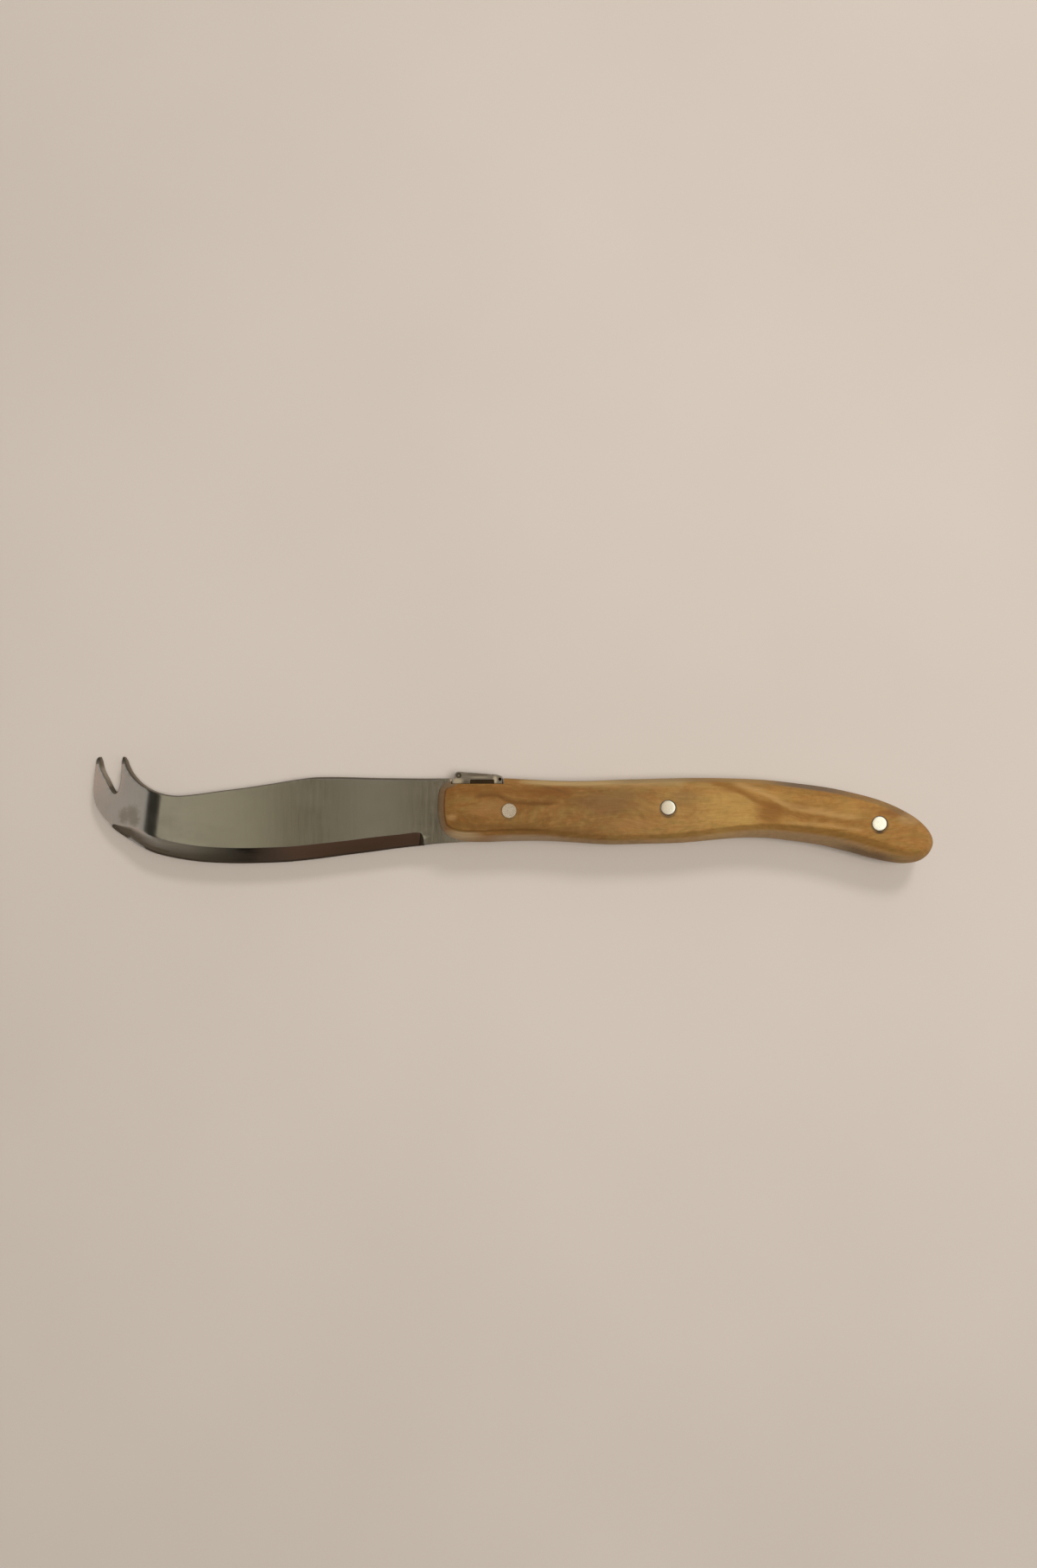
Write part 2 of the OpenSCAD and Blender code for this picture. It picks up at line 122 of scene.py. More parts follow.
def bent(p, z):
    """Where the bend of the tip carries points of the flat blank; z is the height over mid thickness."""
    p, z = np.asarray(p, float), np.asarray(z, float)
    s, w = (p - BEND_AT) @ OUTWARD, (p - BEND_AT) @ ALONG
    a = np.clip((s - BEND_FROM) / BEND_LEN, 0, 1) * math.radians(TIP_BEND)
    past = np.maximum(0, s - BEND_FROM - BEND_LEN)
    s2 = np.minimum(s, BEND_FROM) + (BEND_R + z) * np.sin(a) + past * np.cos(a)
    z2 = (BEND_R + z) * np.cos(a) - BEND_R - past * np.sin(a)
    xy = BEND_AT + np.outer(w, ALONG) + np.outer(s2, OUTWARD)
    return np.column_stack((xy, z2))


def in_row(p):
    """Drawing millimetres to the row frame's metres."""
    p = np.array(p, float).reshape(-1, 3)
    return (p - (CENTRE[0], CENTRE[1], 0)) / 1000


def smooth(x, a, b):
    t = np.clip((np.asarray(x, float) - a) / (b - a), 0, 1)
    return t * t * (3 - 2 * t)


def inset_dirs(ring):
    """Mitred inward direction at each point of a counterclockwise ring: one step along it is one step in."""
    nxt, prv = np.roll(ring, -1, 0) - ring, ring - np.roll(ring, 1, 0)
    nxt /= np.linalg.norm(nxt, axis=1)[:, None]
    prv /= np.linalg.norm(prv, axis=1)[:, None]
    n1, n2 = np.column_stack((-prv[:, 1], prv[:, 0])), np.column_stack((-nxt[:, 1], nxt[:, 0]))
    m = n1 + n2
    m /= np.linalg.norm(m, axis=1)[:, None]
    return m / np.maximum((m * n1).sum(1), 0.6)[:, None]


def inside(points, ring):
    x, y = points[:, 0][:, None], points[:, 1][:, None]
    x1, y1 = ring[:, 0][None], ring[:, 1][None]
    x2, y2 = np.roll(x1, -1, 1), np.roll(y1, -1, 1)
    hit = ((y1 > y) != (y2 > y)) & (x < (x2 - x1) * (y - y1) / np.where(y2 == y1, 1e-12, y2 - y1) + x1)
    return hit.sum(1) % 2 == 1


def away(points, ring):
    a, d = ring[None], (np.roll(ring, -1, 0) - ring)[None]
    q = points[:, None] - a
    t = np.clip((q * d).sum(2) / np.maximum((d * d).sum(2), 1e-12), 0, 1)
    return np.linalg.norm(q - d * t[..., None], axis=2).min(1)


def cap_triangles(outer, holes=(), extra=()):
    """Triangles over a flat ring with round holes; indices run over outer, then the holes, then the extra points."""
    loops = [outer, *holes]
    pts = np.vstack([*loops, np.array(extra, float).reshape(-1, 2)])
    edges, start = [], 0
    for loop in loops:
        n = len(loop)
        edges += [(start + i, start + (i + 1) % n) for i in range(n)]
        start += n
    done = delaunay_2d_cdt([Vector(p) for p in pts], edges, [], 0, 1e-9, True)
    where = [o[0] if o else -1 for o in done[3]]
    tris = np.array([[where[i] for i in f] for f in done[2]])
    if (tris < 0).any():
        raise RuntimeError("a cap's edges cross each other")
    mid = pts[tris].mean(1)
    keep = inside(mid, outer)
    for hole in holes:
        keep &= ~inside(mid, hole)
    tris = tris[keep]
    a, b, c = pts[tris[:, 0]], pts[tris[:, 1]], pts[tris[:, 2]]
    area = (b - a)[:, 0] * (c - a)[:, 1] - (b - a)[:, 1] * (c - a)[:, 0]
    return [tuple(t) if s > 0 else tuple(t[::-1]) for t, s in zip(tris, area)]


def circle(at, r, n=48, turn=0.0):
    return np.array([(at[0] + r * math.cos(2 * math.pi * (i + turn) / n),
                      at[1] + r * math.sin(2 * math.pi * (i + turn) / n)) for i in range(n)])


def piece(name, verts, faces, materials, of=None, sharp=32.0, weighted=True):
    mesh = bpy.data.meshes.new(name)
    mesh.from_pydata([tuple(v) for v in verts], [], [tuple(int(i) for i in f) for f in faces])
    for m in materials:
        mesh.materials.append(m)
    if of is not None:
        mesh.polygons.foreach_set("material_index", np.array(of, np.int32))
    mesh.validate()
    o = bpy.data.objects.new(name, mesh)
    bpy.context.scene.collection.objects.link(o)
    finish_mesh(o, sharp, weighted)
    return o


def finish_mesh(o, sharp, weighted=True):
    o.data.polygons.foreach_set("use_smooth", np.ones(len(o.data.polygons), bool))
    o.data.set_sharp_from_angle(angle=math.radians(sharp))
    o.data.update()
    if weighted:
        m = o.modifiers.new("normals", "WEIGHTED_NORMAL")
        m.keep_sharp = True
        m.weight = 75


def cut(o, tool, operation="DIFFERENCE"):
    """Applies a boolean with tool, then removes tool."""
    m = o.modifiers.new("cut", "BOOLEAN")
    m.object, m.operation, m.solver = tool, operation, "EXACT"
    with bpy.context.temp_override(object=o, active_object=o):
        while o.modifiers[0] != m:
            bpy.ops.object.modifier_move_up(modifier=m.name)
    dg = bpy.context.evaluated_depsgraph_get()
    keep = [x for x in o.modifiers if x != m]
    shown = [x.show_viewport for x in keep]
    for x in keep:
        x.show_viewport = False
    dg.update()
    made = bpy.data.meshes.new_from_object(o.evaluated_get(dg))
    for x, s in zip(keep, shown):
        x.show_viewport = s
    o.modifiers.remove(m)
    old = o.data
    o.data = made
    bpy.data.meshes.remove(old)
    made.name = o.name
    old = tool.data
    bpy.data.objects.remove(tool)
    bpy.data.meshes.remove(old)


def box_tool(low, high):
    """A plain box for cutting, in drawing millimetres."""
    c = [(x, y, z) for x in (low[0], high[0]) for y in (low[1], high[1]) for z in (low[2], high[2])]
    f = [(0, 1, 3, 2), (4, 6, 7, 5), (0, 4, 5, 1), (2, 3, 7, 6), (0, 2, 6, 4), (1, 5, 7, 3)]
    return piece("tool", in_row(c), f, [], weighted=False)


# ---------------------------------------------------------------- nodes
class Nodes:
    """Short names for building shader nodes."""

    def __init__(self, tree):
        self.tree = tree
        tree.nodes.clear()

    def new(self, kind, **props):
        node = self.tree.nodes.new(kind)
        for k, v in props.items():
            setattr(node, k, v)
        return node

    def put(self, value, socket):
        if isinstance(value, bpy.types.NodeSocket):
            self.tree.links.new(value, socket)
        elif isinstance(value, (tuple, list)) and len(value) == 3 and socket.type == "RGBA":
            socket.default_value = (*value, 1)
        else:
            socket.default_value = value

    def math(self, op, a, b=None, c=None, clamp=False):
        n = self.new("ShaderNodeMath", operation=op, use_clamp=clamp)
        for i, v in enumerate((a, b, c)):
            if v is not None:
                self.put(v, n.inputs[i])
        return n.outputs[0]

    def add(self, a, b):
        return self.math("ADD", a, b)

    def sub(self, a, b):
        return self.math("SUBTRACT", a, b)

    def mul(self, a, b):
        return self.math("MULTIPLY", a, b)

    def map(self, x, a, b, c=0.0, d=1.0, kind="SMOOTHSTEP"):
        n = self.new("ShaderNodeMapRange", interpolation_type=kind)
        n.clamp = True
        for i, v in enumerate((x, a, b, c, d)):
            self.put(v, n.inputs[i])
        return n.outputs[0]

    def between(self, x, a, b, soft):
        """1 from a to b, fading over soft on either side."""
        return self.mul(self.map(x, a - soft, a + soft), self.map(x, b + soft, b - soft))

    def mix(self, f, a, b, blend="MIX"):
        n = self.new("ShaderNodeMix", data_type="RGBA", blend_type=blend, clamp_factor=True)
        self.put(f, n.inputs[0])
        self.put(a, n.inputs[6])
        self.put(b, n.inputs[7])
        return n.outputs[2]

    def ramp(self, f, stops, kind="EASE"):
        n = self.new("ShaderNodeValToRGB")
        n.color_ramp.interpolation = kind
        e = n.color_ramp.elements
        while len(e) < len(stops):
            e.new(0.5)
        for el, (at, colour) in zip(e, stops):
            el.position = at
            el.color = (*colour, 1) if len(colour) == 3 else colour
        self.put(f, n.inputs[0])
        return n.outputs[0]

    def join(self, x, y, z):
        n = self.new("ShaderNodeCombineXYZ")
        for i, v in enumerate((x, y, z)):
            self.put(v, n.inputs[i])
        return n.outputs[0]

    def split(self, v):
        n = self.new("ShaderNodeSeparateXYZ")
        self.put(v, n.inputs[0])
        return n.outputs[0], n.outputs[1], n.outputs[2]

    def noise(self, v, scale=1.0, detail=2.0, rough=0.5, distortion=0.0):
        n = self.new("ShaderNodeTexNoise", noise_dimensions="3D")
        self.put(v, n.inputs["Vector"])
        n.inputs["Scale"].default_value = scale
        n.inputs["Detail"].default_value = detail
        n.inputs["Roughness"].default_value = rough
        n.inputs["Distortion"].default_value = distortion
        return n.outputs[0]

    def bump(self, height, strength, distance, normal=None):
        n = self.new("ShaderNodeBump")
        n.inputs["Strength"].default_value = strength
        n.inputs["Distance"].default_value = distance
        self.put(height, n.inputs["Height"])
        if normal is not None:
            self.put(normal, n.inputs["Normal"])
        return n.outputs[0]

    def line(self, x, points):
        """Smooth y over x through given points, both in millimetres."""
        xs, ys = [p[0] for p in points], [p[1] for p in points]
        x0, x1, y0, y1 = min(xs), max(xs), min(ys) - 1, max(ys) + 1
        n = self.new("ShaderNodeFloatCurve")
        curve = n.mapping.curves[0]
        want = sorted(((p[0] - x0) / (x1 - x0), (p[1] - y0) / (y1 - y0)) for p in points)
        while len(curve.points) < len(want):
            curve.points.new(0.5, 0.5)
        for c, w in zip(curve.points, want):
            c.location = w
            c.handle_type = "AUTO"
        n.mapping.update()
        self.put(self.map(x, x0, x1, kind="LINEAR"), n.inputs["Value"])
        return self.math("MULTIPLY_ADD", n.outputs[0], y1 - y0, y0)


def material(name):
    m = bpy.data.materials.new(name)
    m.use_nodes = True
    return m, Nodes(m.node_tree)


def object_mm(n):
    """The piece's own coordinates, in millimetres of the row frame."""
    c = n.new("ShaderNodeTexCoord")
    v = n.new("ShaderNodeVectorMath", operation="SCALE")
    n.put(c.outputs["Object"], v.inputs[0])
    v.inputs["Scale"].default_value = 1000
    return v.outputs[0]


def shader(n, **values):
    p = n.new("ShaderNodeBsdfPrincipled")
    for k, v in values.items():
        n.put(v, p.inputs[k.replace("_", " ")])
    out = n.new("ShaderNodeOutputMaterial")
    n.put(p.outputs[0], out.inputs[0])
    return p


def on_blade(px, py):
    """Where a place seen in the photograph lies on the blade's upper face, in the row frame's millimetres."""
    return 2.44 + (px - 600) / 4.333, 6.98 - (py - 907) / 4.333


def on_wood(px, py):
    """The same on the handle's upper face, which is nearer the camera."""
    return 2.44 + (px - 600) / 4.403, 6.98 - (py - 907) / 4.403


def near(n, x, y, at, rx, ry, wobble=None):
    """A soft round patch: 1 at its middle, 0 outside."""
    dx, dy = n.mul(n.sub(x, at[0]), 1 / rx), n.mul(n.sub(y, at[1]), 1 / ry)
    d = n.math("SQRT", n.add(n.mul(dx, dx), n.mul(dy, dy)))
    if wobble is not None:
        d = n.add(d, wobble)
    return n.map(d, 1.0, 0.25)


# ---------------------------------------------------------------- materials
def steel(name, base, rough, brush, smudge_and_reflection=True, across=True, wall=False):
    """Brushed stainless steel. The brush marks run across the blade, or along it on the ground bevel."""
    m, n = material(name)
    x, y, z = n.split(object_mm(n))
    if across:
        fine = n.noise(n.join(n.mul(x, 5.0), n.mul(y, 0.16), z), 1.0, 4, 0.6)
        broad = n.noise(n.join(n.mul(x, 1.1), n.mul(y, 0.05), z), 1.0, 3, 0.55)
    else:
        fine = n.noise(n.join(n.mul(x, 0.12), n.mul(y, 6.0), n.mul(z, 6.0)), 1.0, 4, 0.6)
        broad = n.noise(n.join(n.mul(x, 0.05), n.mul(y, 1.5), z), 1.0, 3, 0.55)
    marks = n.add(n.mul(fine, 0.6), n.mul(broad, 0.4))
    cloud = n.noise(n.join(n.mul(x, 0.07), n.mul(y, 0.12), z), 1.0, 3, 0.6)
    dark = tuple(c * (1 - brush) for c in base)
    light = tuple(min(1, c * (1 + brush)) for c in base)
    colour = n.ramp(marks, [(0.3, dark), (0.7, light)], "LINEAR")
    colour = n.mix(n.map(cloud, 0.45, 0.75, 0, 0.12), colour, tuple(c * 0.8 for c in base))
    roughness = n.add(n.map(marks, 0.3, 0.7, rough - 0.03, rough + 0.03, "LINEAR"), n.map(cloud, 0.4, 0.8, 0.0, 0.05))
    if smudge_and_reflection:
        # painted paler reflection on the outer tine
        colour = n.mix(n.mul(n.mul(n.map(y, 1.0, 9.0), n.map(x, -102.0, -107.5)), 0.75), colour, (0.76, 0.705, 0.665))
        # painted dark reflection at the ends of the tines, which are also rougher
        ends = n.mul(n.map(y, 12.3, 13.5), n.map(x, -100.5, -101.5))
        colour = n.mix(n.mul(ends, 0.8), colour, (0.13, 0.115, 0.09))
        roughness = n.add(roughness, n.mul(ends, 0.15))
        wobble = n.math("MULTIPLY_ADD", n.noise(n.join(x, y, z), 1.1, 4, 0.6), 0.9, -0.45)
        mark = near(n, x, y, on_blade(141, 944), 2.3, 3.0, wobble)
        for at, rx, ry in (((150.5, 942), 2.9, 3.2), ((154, 949), 2.3, 2.2)):
            mark = n.math("MAXIMUM", mark, near(n, x, y, on_blade(*at), rx, ry, wobble))
        colour = n.mix(n.mul(mark, 0.58), colour, (0.36, 0.35, 0.28))
        roughness = n.add(roughness, n.mul(mark, 0.08))
    if wall:
        # painted lighter reflection between the tines, below the thinned ends
        colour = n.mix(n.mul(n.mul(n.map(x, -103.8, -104.8), n.map(y, 12.2, 10.8)), n.map(y, 6.0, 6.8)), colour, (0.44, 0.39, 0.33))
    shader(n, Metallic=1.0, Base_Color=colour, Roughness=roughness, Normal=n.bump(marks, 0.10, 0.00002))
    return m


def wood(name, back):
    """Olive wood, satin. The grain is a solid one, so it runs through to the edges; the veins are placed one by one."""
    m, n = material(name)
    x, y, z = n.split(object_mm(n))
    if back:
        x, y, deep = n.sub(92.0, x), n.add(y, 1.2), z
    else:
        deep = n.sub(HANDLE_T, z)
    # slow sway of the grain, cloudy figure, and fine streaks along it
    sway = n.noise(n.join(n.mul(x, 0.018), n.mul(y, 0.05), n.mul(deep, 0.08)), 1.0, 2, 0.5)
    small = n.noise(n.join(n.mul(x, 0.09), n.mul(y, 0.3), n.mul(deep, 0.3)), 1.0, 2, 0.5)
    flow = n.add(n.add(y, n.mul(deep, 0.3)), n.mul(n.sub(sway, 0.5), 14.0))
    streak = n.noise(n.join(n.mul(x, 0.040), n.mul(flow, 0.55), n.mul(deep, 0.12)), 1.0, 3, 0.55, 0.4)
    cloudy = n.noise(n.join(n.mul(x, 0.13), n.mul(flow, 0.42), n.mul(deep, 0.3)), 1.0, 3, 0.6, 0.6)
    mottle = n.noise(n.join(n.mul(x, 0.55), n.mul(flow, 1.1), n.mul(deep, 0.9)), 1.0, 3, 0.6)
    fine = n.noise(n.join(n.mul(x, 0.14), n.mul(flow, 4.2), n.mul(deep, 3.0)), 1.0, 3, 0.6)
    pores = n.noise(n.join(n.mul(x, 0.5), n.mul(flow, 11.0), n.mul(deep, 9.0)), 1.0, 2, 0.5)

    # overall colour along the handle: orange brown at the front, dull in the middle, golden, then brown
    base = n.ramp(n.map(x, -20, 112, kind="LINEAR"), [
        (0.00, (0.200, 0.088, 0.017)), (0.12, (0.248, 0.115, 0.026)), (0.22, (0.238, 0.110, 0.026)),
        (0.33, (0.240, 0.120, 0.032)), (0.42, (0.300, 0.155, 0.041)), (0.50, (0.360, 0.195, 0.052)),
        (0.585, (0.460, 0.262, 0.068)), (0.66, (0.405, 0.210, 0.048)), (0.78, (0.350, 0.170, 0.035)),
        (1.00, (0.350, 0.168, 0.037))], "EASE")
    figure = n.add(n.mul(streak, 0.45), n.mul(cloudy, 0.55))
    colour = n.mix(n.map(figure, 0.36, 0.64), n.mix(0.30, base, (0.11, 0.045, 0.010)),
                   n.mix(0.16, base, (0.62, 0.40, 0.14)))
    colour = n.mix(0.62, base, colour)
    colour = n.mix(n.map(mottle, 0.46, 0.66, 0.0, 0.38), colour, n.mix(0.5, colour, (0.12, 0.058, 0.020)))
    colour = n.mix(n.map(mottle, 0.50, 0.34, 0.0, 0.30), colour, n.mix(0.5, colour, (0.46, 0.28, 0.10)))
    # redder and greener casts come and go
    cast = n.noise(n.join(n.mul(x, 0.20), n.mul(flow, 0.62), n.mul(deep, 0.5)), 1.0, 2, 0.5)
    colour = n.mix(n.map(cast, 0.50, 0.66, 0.0, 0.50), colour, n.mix(0.55, colour, (0.25, 0.175, 0.045)))
    colour = n.mix(n.map(cast, 0.48, 0.34, 0.0, 0.38), colour, n.mix(0.45, colour, (0.34, 0.120, 0.030)))

    warp = n.mul(n.sub(small, 0.5), 1.3)
    yv = n.add(n.add(y, n.mul(deep, 0.35)), warp)

    def vein(points, wide, above=None, grain=yv):
        """0 to 1 over a line of the grain; above gives another width to its upper side."""
        pts = [on_wood(*p) for p in points]
        d = n.sub(grain, n.line(x, pts))
        lower = n.map(d, -wide, 0.0)
        upper = n.map(d, above if above else wide, 0.0)
        x0, x1 = min(p[0] for p in pts), max(p[0] for p in pts)
        ends = n.between(x, x0 + 1.5, x1 - 2.0, 1.8)
        return n.mul(n.math("MINIMUM", lower, upper), ends)

    def lay(mask, much, over):
        nonlocal colour
        colour = n.mix(n.mul(mask, much), colour, over)

    brown, pale = (0.120, 0.048, 0.010), (0.50, 0.30, 0.105)
    # orange brown along the top of the front half, and the dull stretch before the middle rivet
    lay(vein([(508, 917), (540, 914), (580, 915), (620, 919), (655, 920), (672, 920)], 1.6, 2.4), 0.55, (0.205, 0.083, 0.017))
    lay(near(n, x, y, on_wood(640, 914), 9.0, 1.7, warp), 0.50, (0.200, 0.078, 0.018))
    lay(near(n, x, y, on_wood(702, 931), 12.0, 3.6, warp), 0.55, (0.190, 0.098, 0.036))
    lay(near(n, x, y, on_wood(712, 920), 10.0, 2.6, warp), 0.45, (0.225, 0.130, 0.045))
    lay(near(n, x, y, on_wood(724, 952), 9.5, 2.4, warp), 0.50, (0.345, 0.178, 0.056))
    lay(near(n, x, y, on_wood(792, 922), 4.6, 3.4, warp), 0.45, (0.230, 0.130, 0.045))
    # paler tongue in front of the first rivet, and the golden field behind the middle one
    lay(near(n, x, y, on_wood(566, 935), 8.5, 3.4, warp), 0.45, (0.320, 0.165, 0.052))
    lay(near(n, x, y, on_wood(845, 936), 10.5, 6.0, warp), 0.40, (0.480, 0.285, 0.078))
    lay(near(n, x, y, on_wood(862, 950), 5.0, 2.6, warp), 0.40, (0.520, 0.320, 0.090))
    # the two fine veins by the front rivet
    lay(vein([(545, 922), (557, 920.5), (573, 920.5), (583, 924.5), (596, 928.3), (615, 929.8), (634, 929.6),
              (652, 928)], 1.0, 1.5), 0.62, brown)
    lay(vein([(612, 903.5), (622, 906.5), (632, 910.5), (644, 914.5), (656, 918.5), (664, 921)], 0.5, 0.7), 0.45,
        (0.130, 0.070, 0.022))
    lay(vein([(520, 940), (540, 947), (565, 948), (590, 950), (620, 948), (650, 950)], 0.8, 1.2), 0.22, (0.150, 0.072, 0.018))
    # painted shade along the lower crease of the flat, laid as a line of the grain
    lay(vein([(512, 946), (530, 954), (560, 957), (600, 957.5), (640, 961), (672, 963), (700, 964)], 1.3, 1.8), 0.60, (0.150, 0.074, 0.018))
    lay(vein([(745, 902), (790, 904), (830, 906), (870, 908), (905, 910)], 1.3, 1.5), 0.45, (0.205, 0.115, 0.038))
    lay(vein([(870, 954), (900, 955), (930, 957), (955, 960)], 0.8, 1.0), 0.35, (0.190, 0.105, 0.030))
    # the flame: a wide brown vein comes down from the top, sharp on its lower left side, to a brown foot
    flame = [(818, 905), (838, 909.5), (853, 914), (866, 921), (876, 927.5), (888, 931.5), (899, 935), (909, 940),
             (921, 943), (943, 945.5), (962, 949.3), (981, 951.5), (997, 950.5), (1012, 946.5)]
    lay(vein(flame[:8], 1.3, 3.0), 0.55, (0.270, 0.115, 0.021))
    lay(vein(flame, 1.1, 1.5), 0.45, (0.215, 0.092, 0.018))
    lay(near(n, x, y, on_wood(892, 941), 5.4, 4.6, n.mul(warp, 0.25)), 0.72, (0.225, 0.090, 0.018))
    lay(vein([(880, 905), (900, 910), (925, 913), (950, 917), (975, 920)], 1.3, 1.8), 0.45, (0.270, 0.135, 0.036))
    lay(vein([(845, 905), (862, 910), (880, 917), (898, 925), (912, 933), (930, 937), (955, 941), (975, 945), (1000, 945)],
             1.1, 1.9), 0.55, pale)
    lay(near(n, x, y, on_wood(985, 934), 5.5, 2.6, warp), 0.55, (0.470, 0.265, 0.070))
    lay(near(n, x, y, on_wood(1036, 940), 5.5, 1.7, n.mul(warp, 0.4)), 0.70, (0.215, 0.092, 0.028))
    lay(near(n, x, y, on_wood(930, 931), 5.0, 2.2, warp), 0.35, (0.235, 0.120, 0.030))
    # painted shade over the lower crease of the flat, below the front rivet
    lay(near(n, x, y, on_wood(600, 956), 7.5, 1.8, warp), 0.30, (0.140, 0.068, 0.016))
    lay(near(n, x, y, on_wood(519, 931), 2.8, 3.4, warp), 0.25, (0.160, 0.075, 0.018))
    lay(near(n, x, y, on_wood(1053, 946), 3.8, 2.4, warp), 0.30, (0.480, 0.320, 0.150))
    lay(vein([(905, 951), (925, 953), (945, 954.5), (965, 957), (985, 959.5), (1005, 961)], 0.7, 1.0), 0.45, pale)

    # the softened edges: painted shade in a dark crease where they begin and along the lower side, a painted grey sheen
    # on the front end and the lower rim, a painted highlight paler along the front half of the spine, darker and greyer
    # along its outermost edge and its rear half
    middle = n.line(x, [(-20, 0.0), (20, -0.4), (60, 0.4), (80, -2.0), (95, -5.0), (112, -8.7)])
    upper = n.map(n.sub(y, middle), -1.0, 1.0)
    lower = n.sub(1.0, upper)
    ragged = n.mul(n.sub(mottle, 0.5), 0.10)
    shown = n.add(deep, ragged)
    crease = n.mul(n.map(shown, 0.005, 0.07), n.map(shown, 0.32, 0.12))
    broad = n.mul(n.map(shown, -0.02, 0.12), n.map(shown, 1.05, 0.45))
    edge = n.map(shown, 0.06, 0.35)
    front_end = n.map(x, -14.0, -17.2)
    lay(n.mul(crease, front_end), 0.80, (0.105, 0.042, 0.015))
    lay(n.mul(n.mul(crease, lower), n.between(x, -16, 9, 4.0)), 0.65, (0.110, 0.052, 0.012))
    lay(n.mul(n.mul(broad, lower), n.between(x, -3, 29, 4.0)), 0.38, (0.140, 0.066, 0.016))
    lay(n.mul(n.mul(broad, lower), n.between(x, 35, 101, 5.0)), 0.50, (0.160, 0.082, 0.018))
    lay(n.mul(n.mul(edge, front_end), n.map(y, -6.0, -3.5)), 0.75, (0.165, 0.110, 0.055))
    lay(n.mul(n.mul(n.map(shown, 0.02, 0.2), n.map(x, -13.0, -15.0)), n.map(y, 5.0, 6.6)), 0.75, (0.140, 0.100, 0.055))
    corner = near(n, x, y, (-12.5, -6.4), 7.0, 2.2)
    lay(near(n, x, y, on_wood(523, 945.5), 1.9, 1.3), 0.50, (0.410, 0.240, 0.090))
    rim = n.mul(n.map(shown, 0.45, 1.05), n.mul(lower, n.map(x, 102, 92)))
    lay(rim, 0.36, (0.270, 0.200, 0.120))
    lay(n.mul(n.mul(edge, lower), corner), 0.72, (0.400, 0.285, 0.145))
    lay(n.mul(n.mul(n.map(shown, 0.5, 1.4), lower), n.between(x, -4, 14, 4.0)), 0.60, (0.330, 0.240, 0.150))
    lay(n.mul(rim, n.between(x, 58, 92, 8.0)), 0.45, (0.260, 0.180, 0.098))
    lay(n.mul(n.mul(n.map(shown, 0.55, 1.2), lower), n.between(x, 97, 108, 2.5)), 0.45, (0.260, 0.180, 0.088))
    # painted shade and a painted shadow low on the rear of the lower rim
    lay(n.mul(n.mul(n.mul(n.map(shown, 0.15, 0.35), n.map(shown, 0.85, 0.5)), lower), n.between(x, 99, 108, 2.5)), 0.40, (0.180, 0.105, 0.028))
    lay(n.mul(n.mul(n.mul(n.map(shown, 0.8, 2.1), n.map(shown, 5.0, 3.4)), lower), n.between(x, 88, 101.5, 4.5)), 0.68, (0.092, 0.056, 0.030))
    # painted highlight along the upper edge, laid as a line of the grain
    lay(vein([(598, 904), (640, 905.5), (680, 906.5), (740, 907), (800, 905.5)], 1.5, 3.0), 0.45, (0.40, 0.28, 0.115))
    lay(n.mul(n.mul(edge, upper), n.between(x, 5, 47, 5.0)), 0.75, (0.400, 0.275, 0.115))
    lay(n.mul(n.mul(n.map(shown, 0.8, 1.3), upper), n.between(x, -5, 30, 4.0)), 0.50, (0.150, 0.105, 0.045))
    lay(n.mul(n.mul(n.map(shown, 0.06, 0.45), upper), n.between(x, 28, 106, 4.0)), 0.55, (0.190, 0.128, 0.060))
    strip = n.mul(n.between(x, 70.5, 88.0, 5.0), n.mul(n.map(shown, 0.06, 0.5), upper))
    lay(strip, 0.70, (0.115, 0.088, 0.066))
    # painted shade round the rivets: a darker ring set a little low, and a painted shadow at the foot of each
    for (_, at), ring_much, foot_much in zip(RIVETS.items(), (0.12, 0.55, 0.55), (0.22, 0.40, 0.80)):
        dx, dy = at[0] - CENTRE[0], at[1] - CENTRE[1]
        if back:
            dx, dy = 92.0 - dx, dy + 1.2
        px, py = n.sub(x, dx + 0.06), n.sub(y, dy - 0.32)
        away_from = n.math("SQRT", n.add(n.mul(px, px), n.mul(py, py)))
        lay(n.map(away_from, 2.62, 2.12), ring_much, (0.115, 0.070, 0.032))
        lay(near(n, x, y, (dx, dy - 2.25), 1.5, 0.62), foot_much, (0.060, 0.036, 0.016))
    # fibre and pores
    colour = n.mix(1.0, colour, n.ramp(fine, [(0.30, (0.92, 0.94, 1.04)), (0.70, (1.13, 1.16, 1.32))], "LINEAR"), "MULTIPLY")
    pit = n.map(pores, 0.64, 0.74)
    colour = n.mix(n.mul(pit, 0.22), colour, (0.10, 0.045, 0.014))
    roughness = n.add(n.map(streak, 0.3, 0.7, 0.44, 0.52, "LINEAR"), n.mul(pit, 0.12))
    height = n.sub(n.add(n.mul(fine, 0.5), n.mul(streak, 0.5)), n.mul(pit, 0.6))
    p = shader(n, Base_Color=colour, Roughness=roughness, Normal=n.bump(height, 0.25, 0.00006))
    p.inputs["Specular IOR Level"].default_value = 0.28
    return m


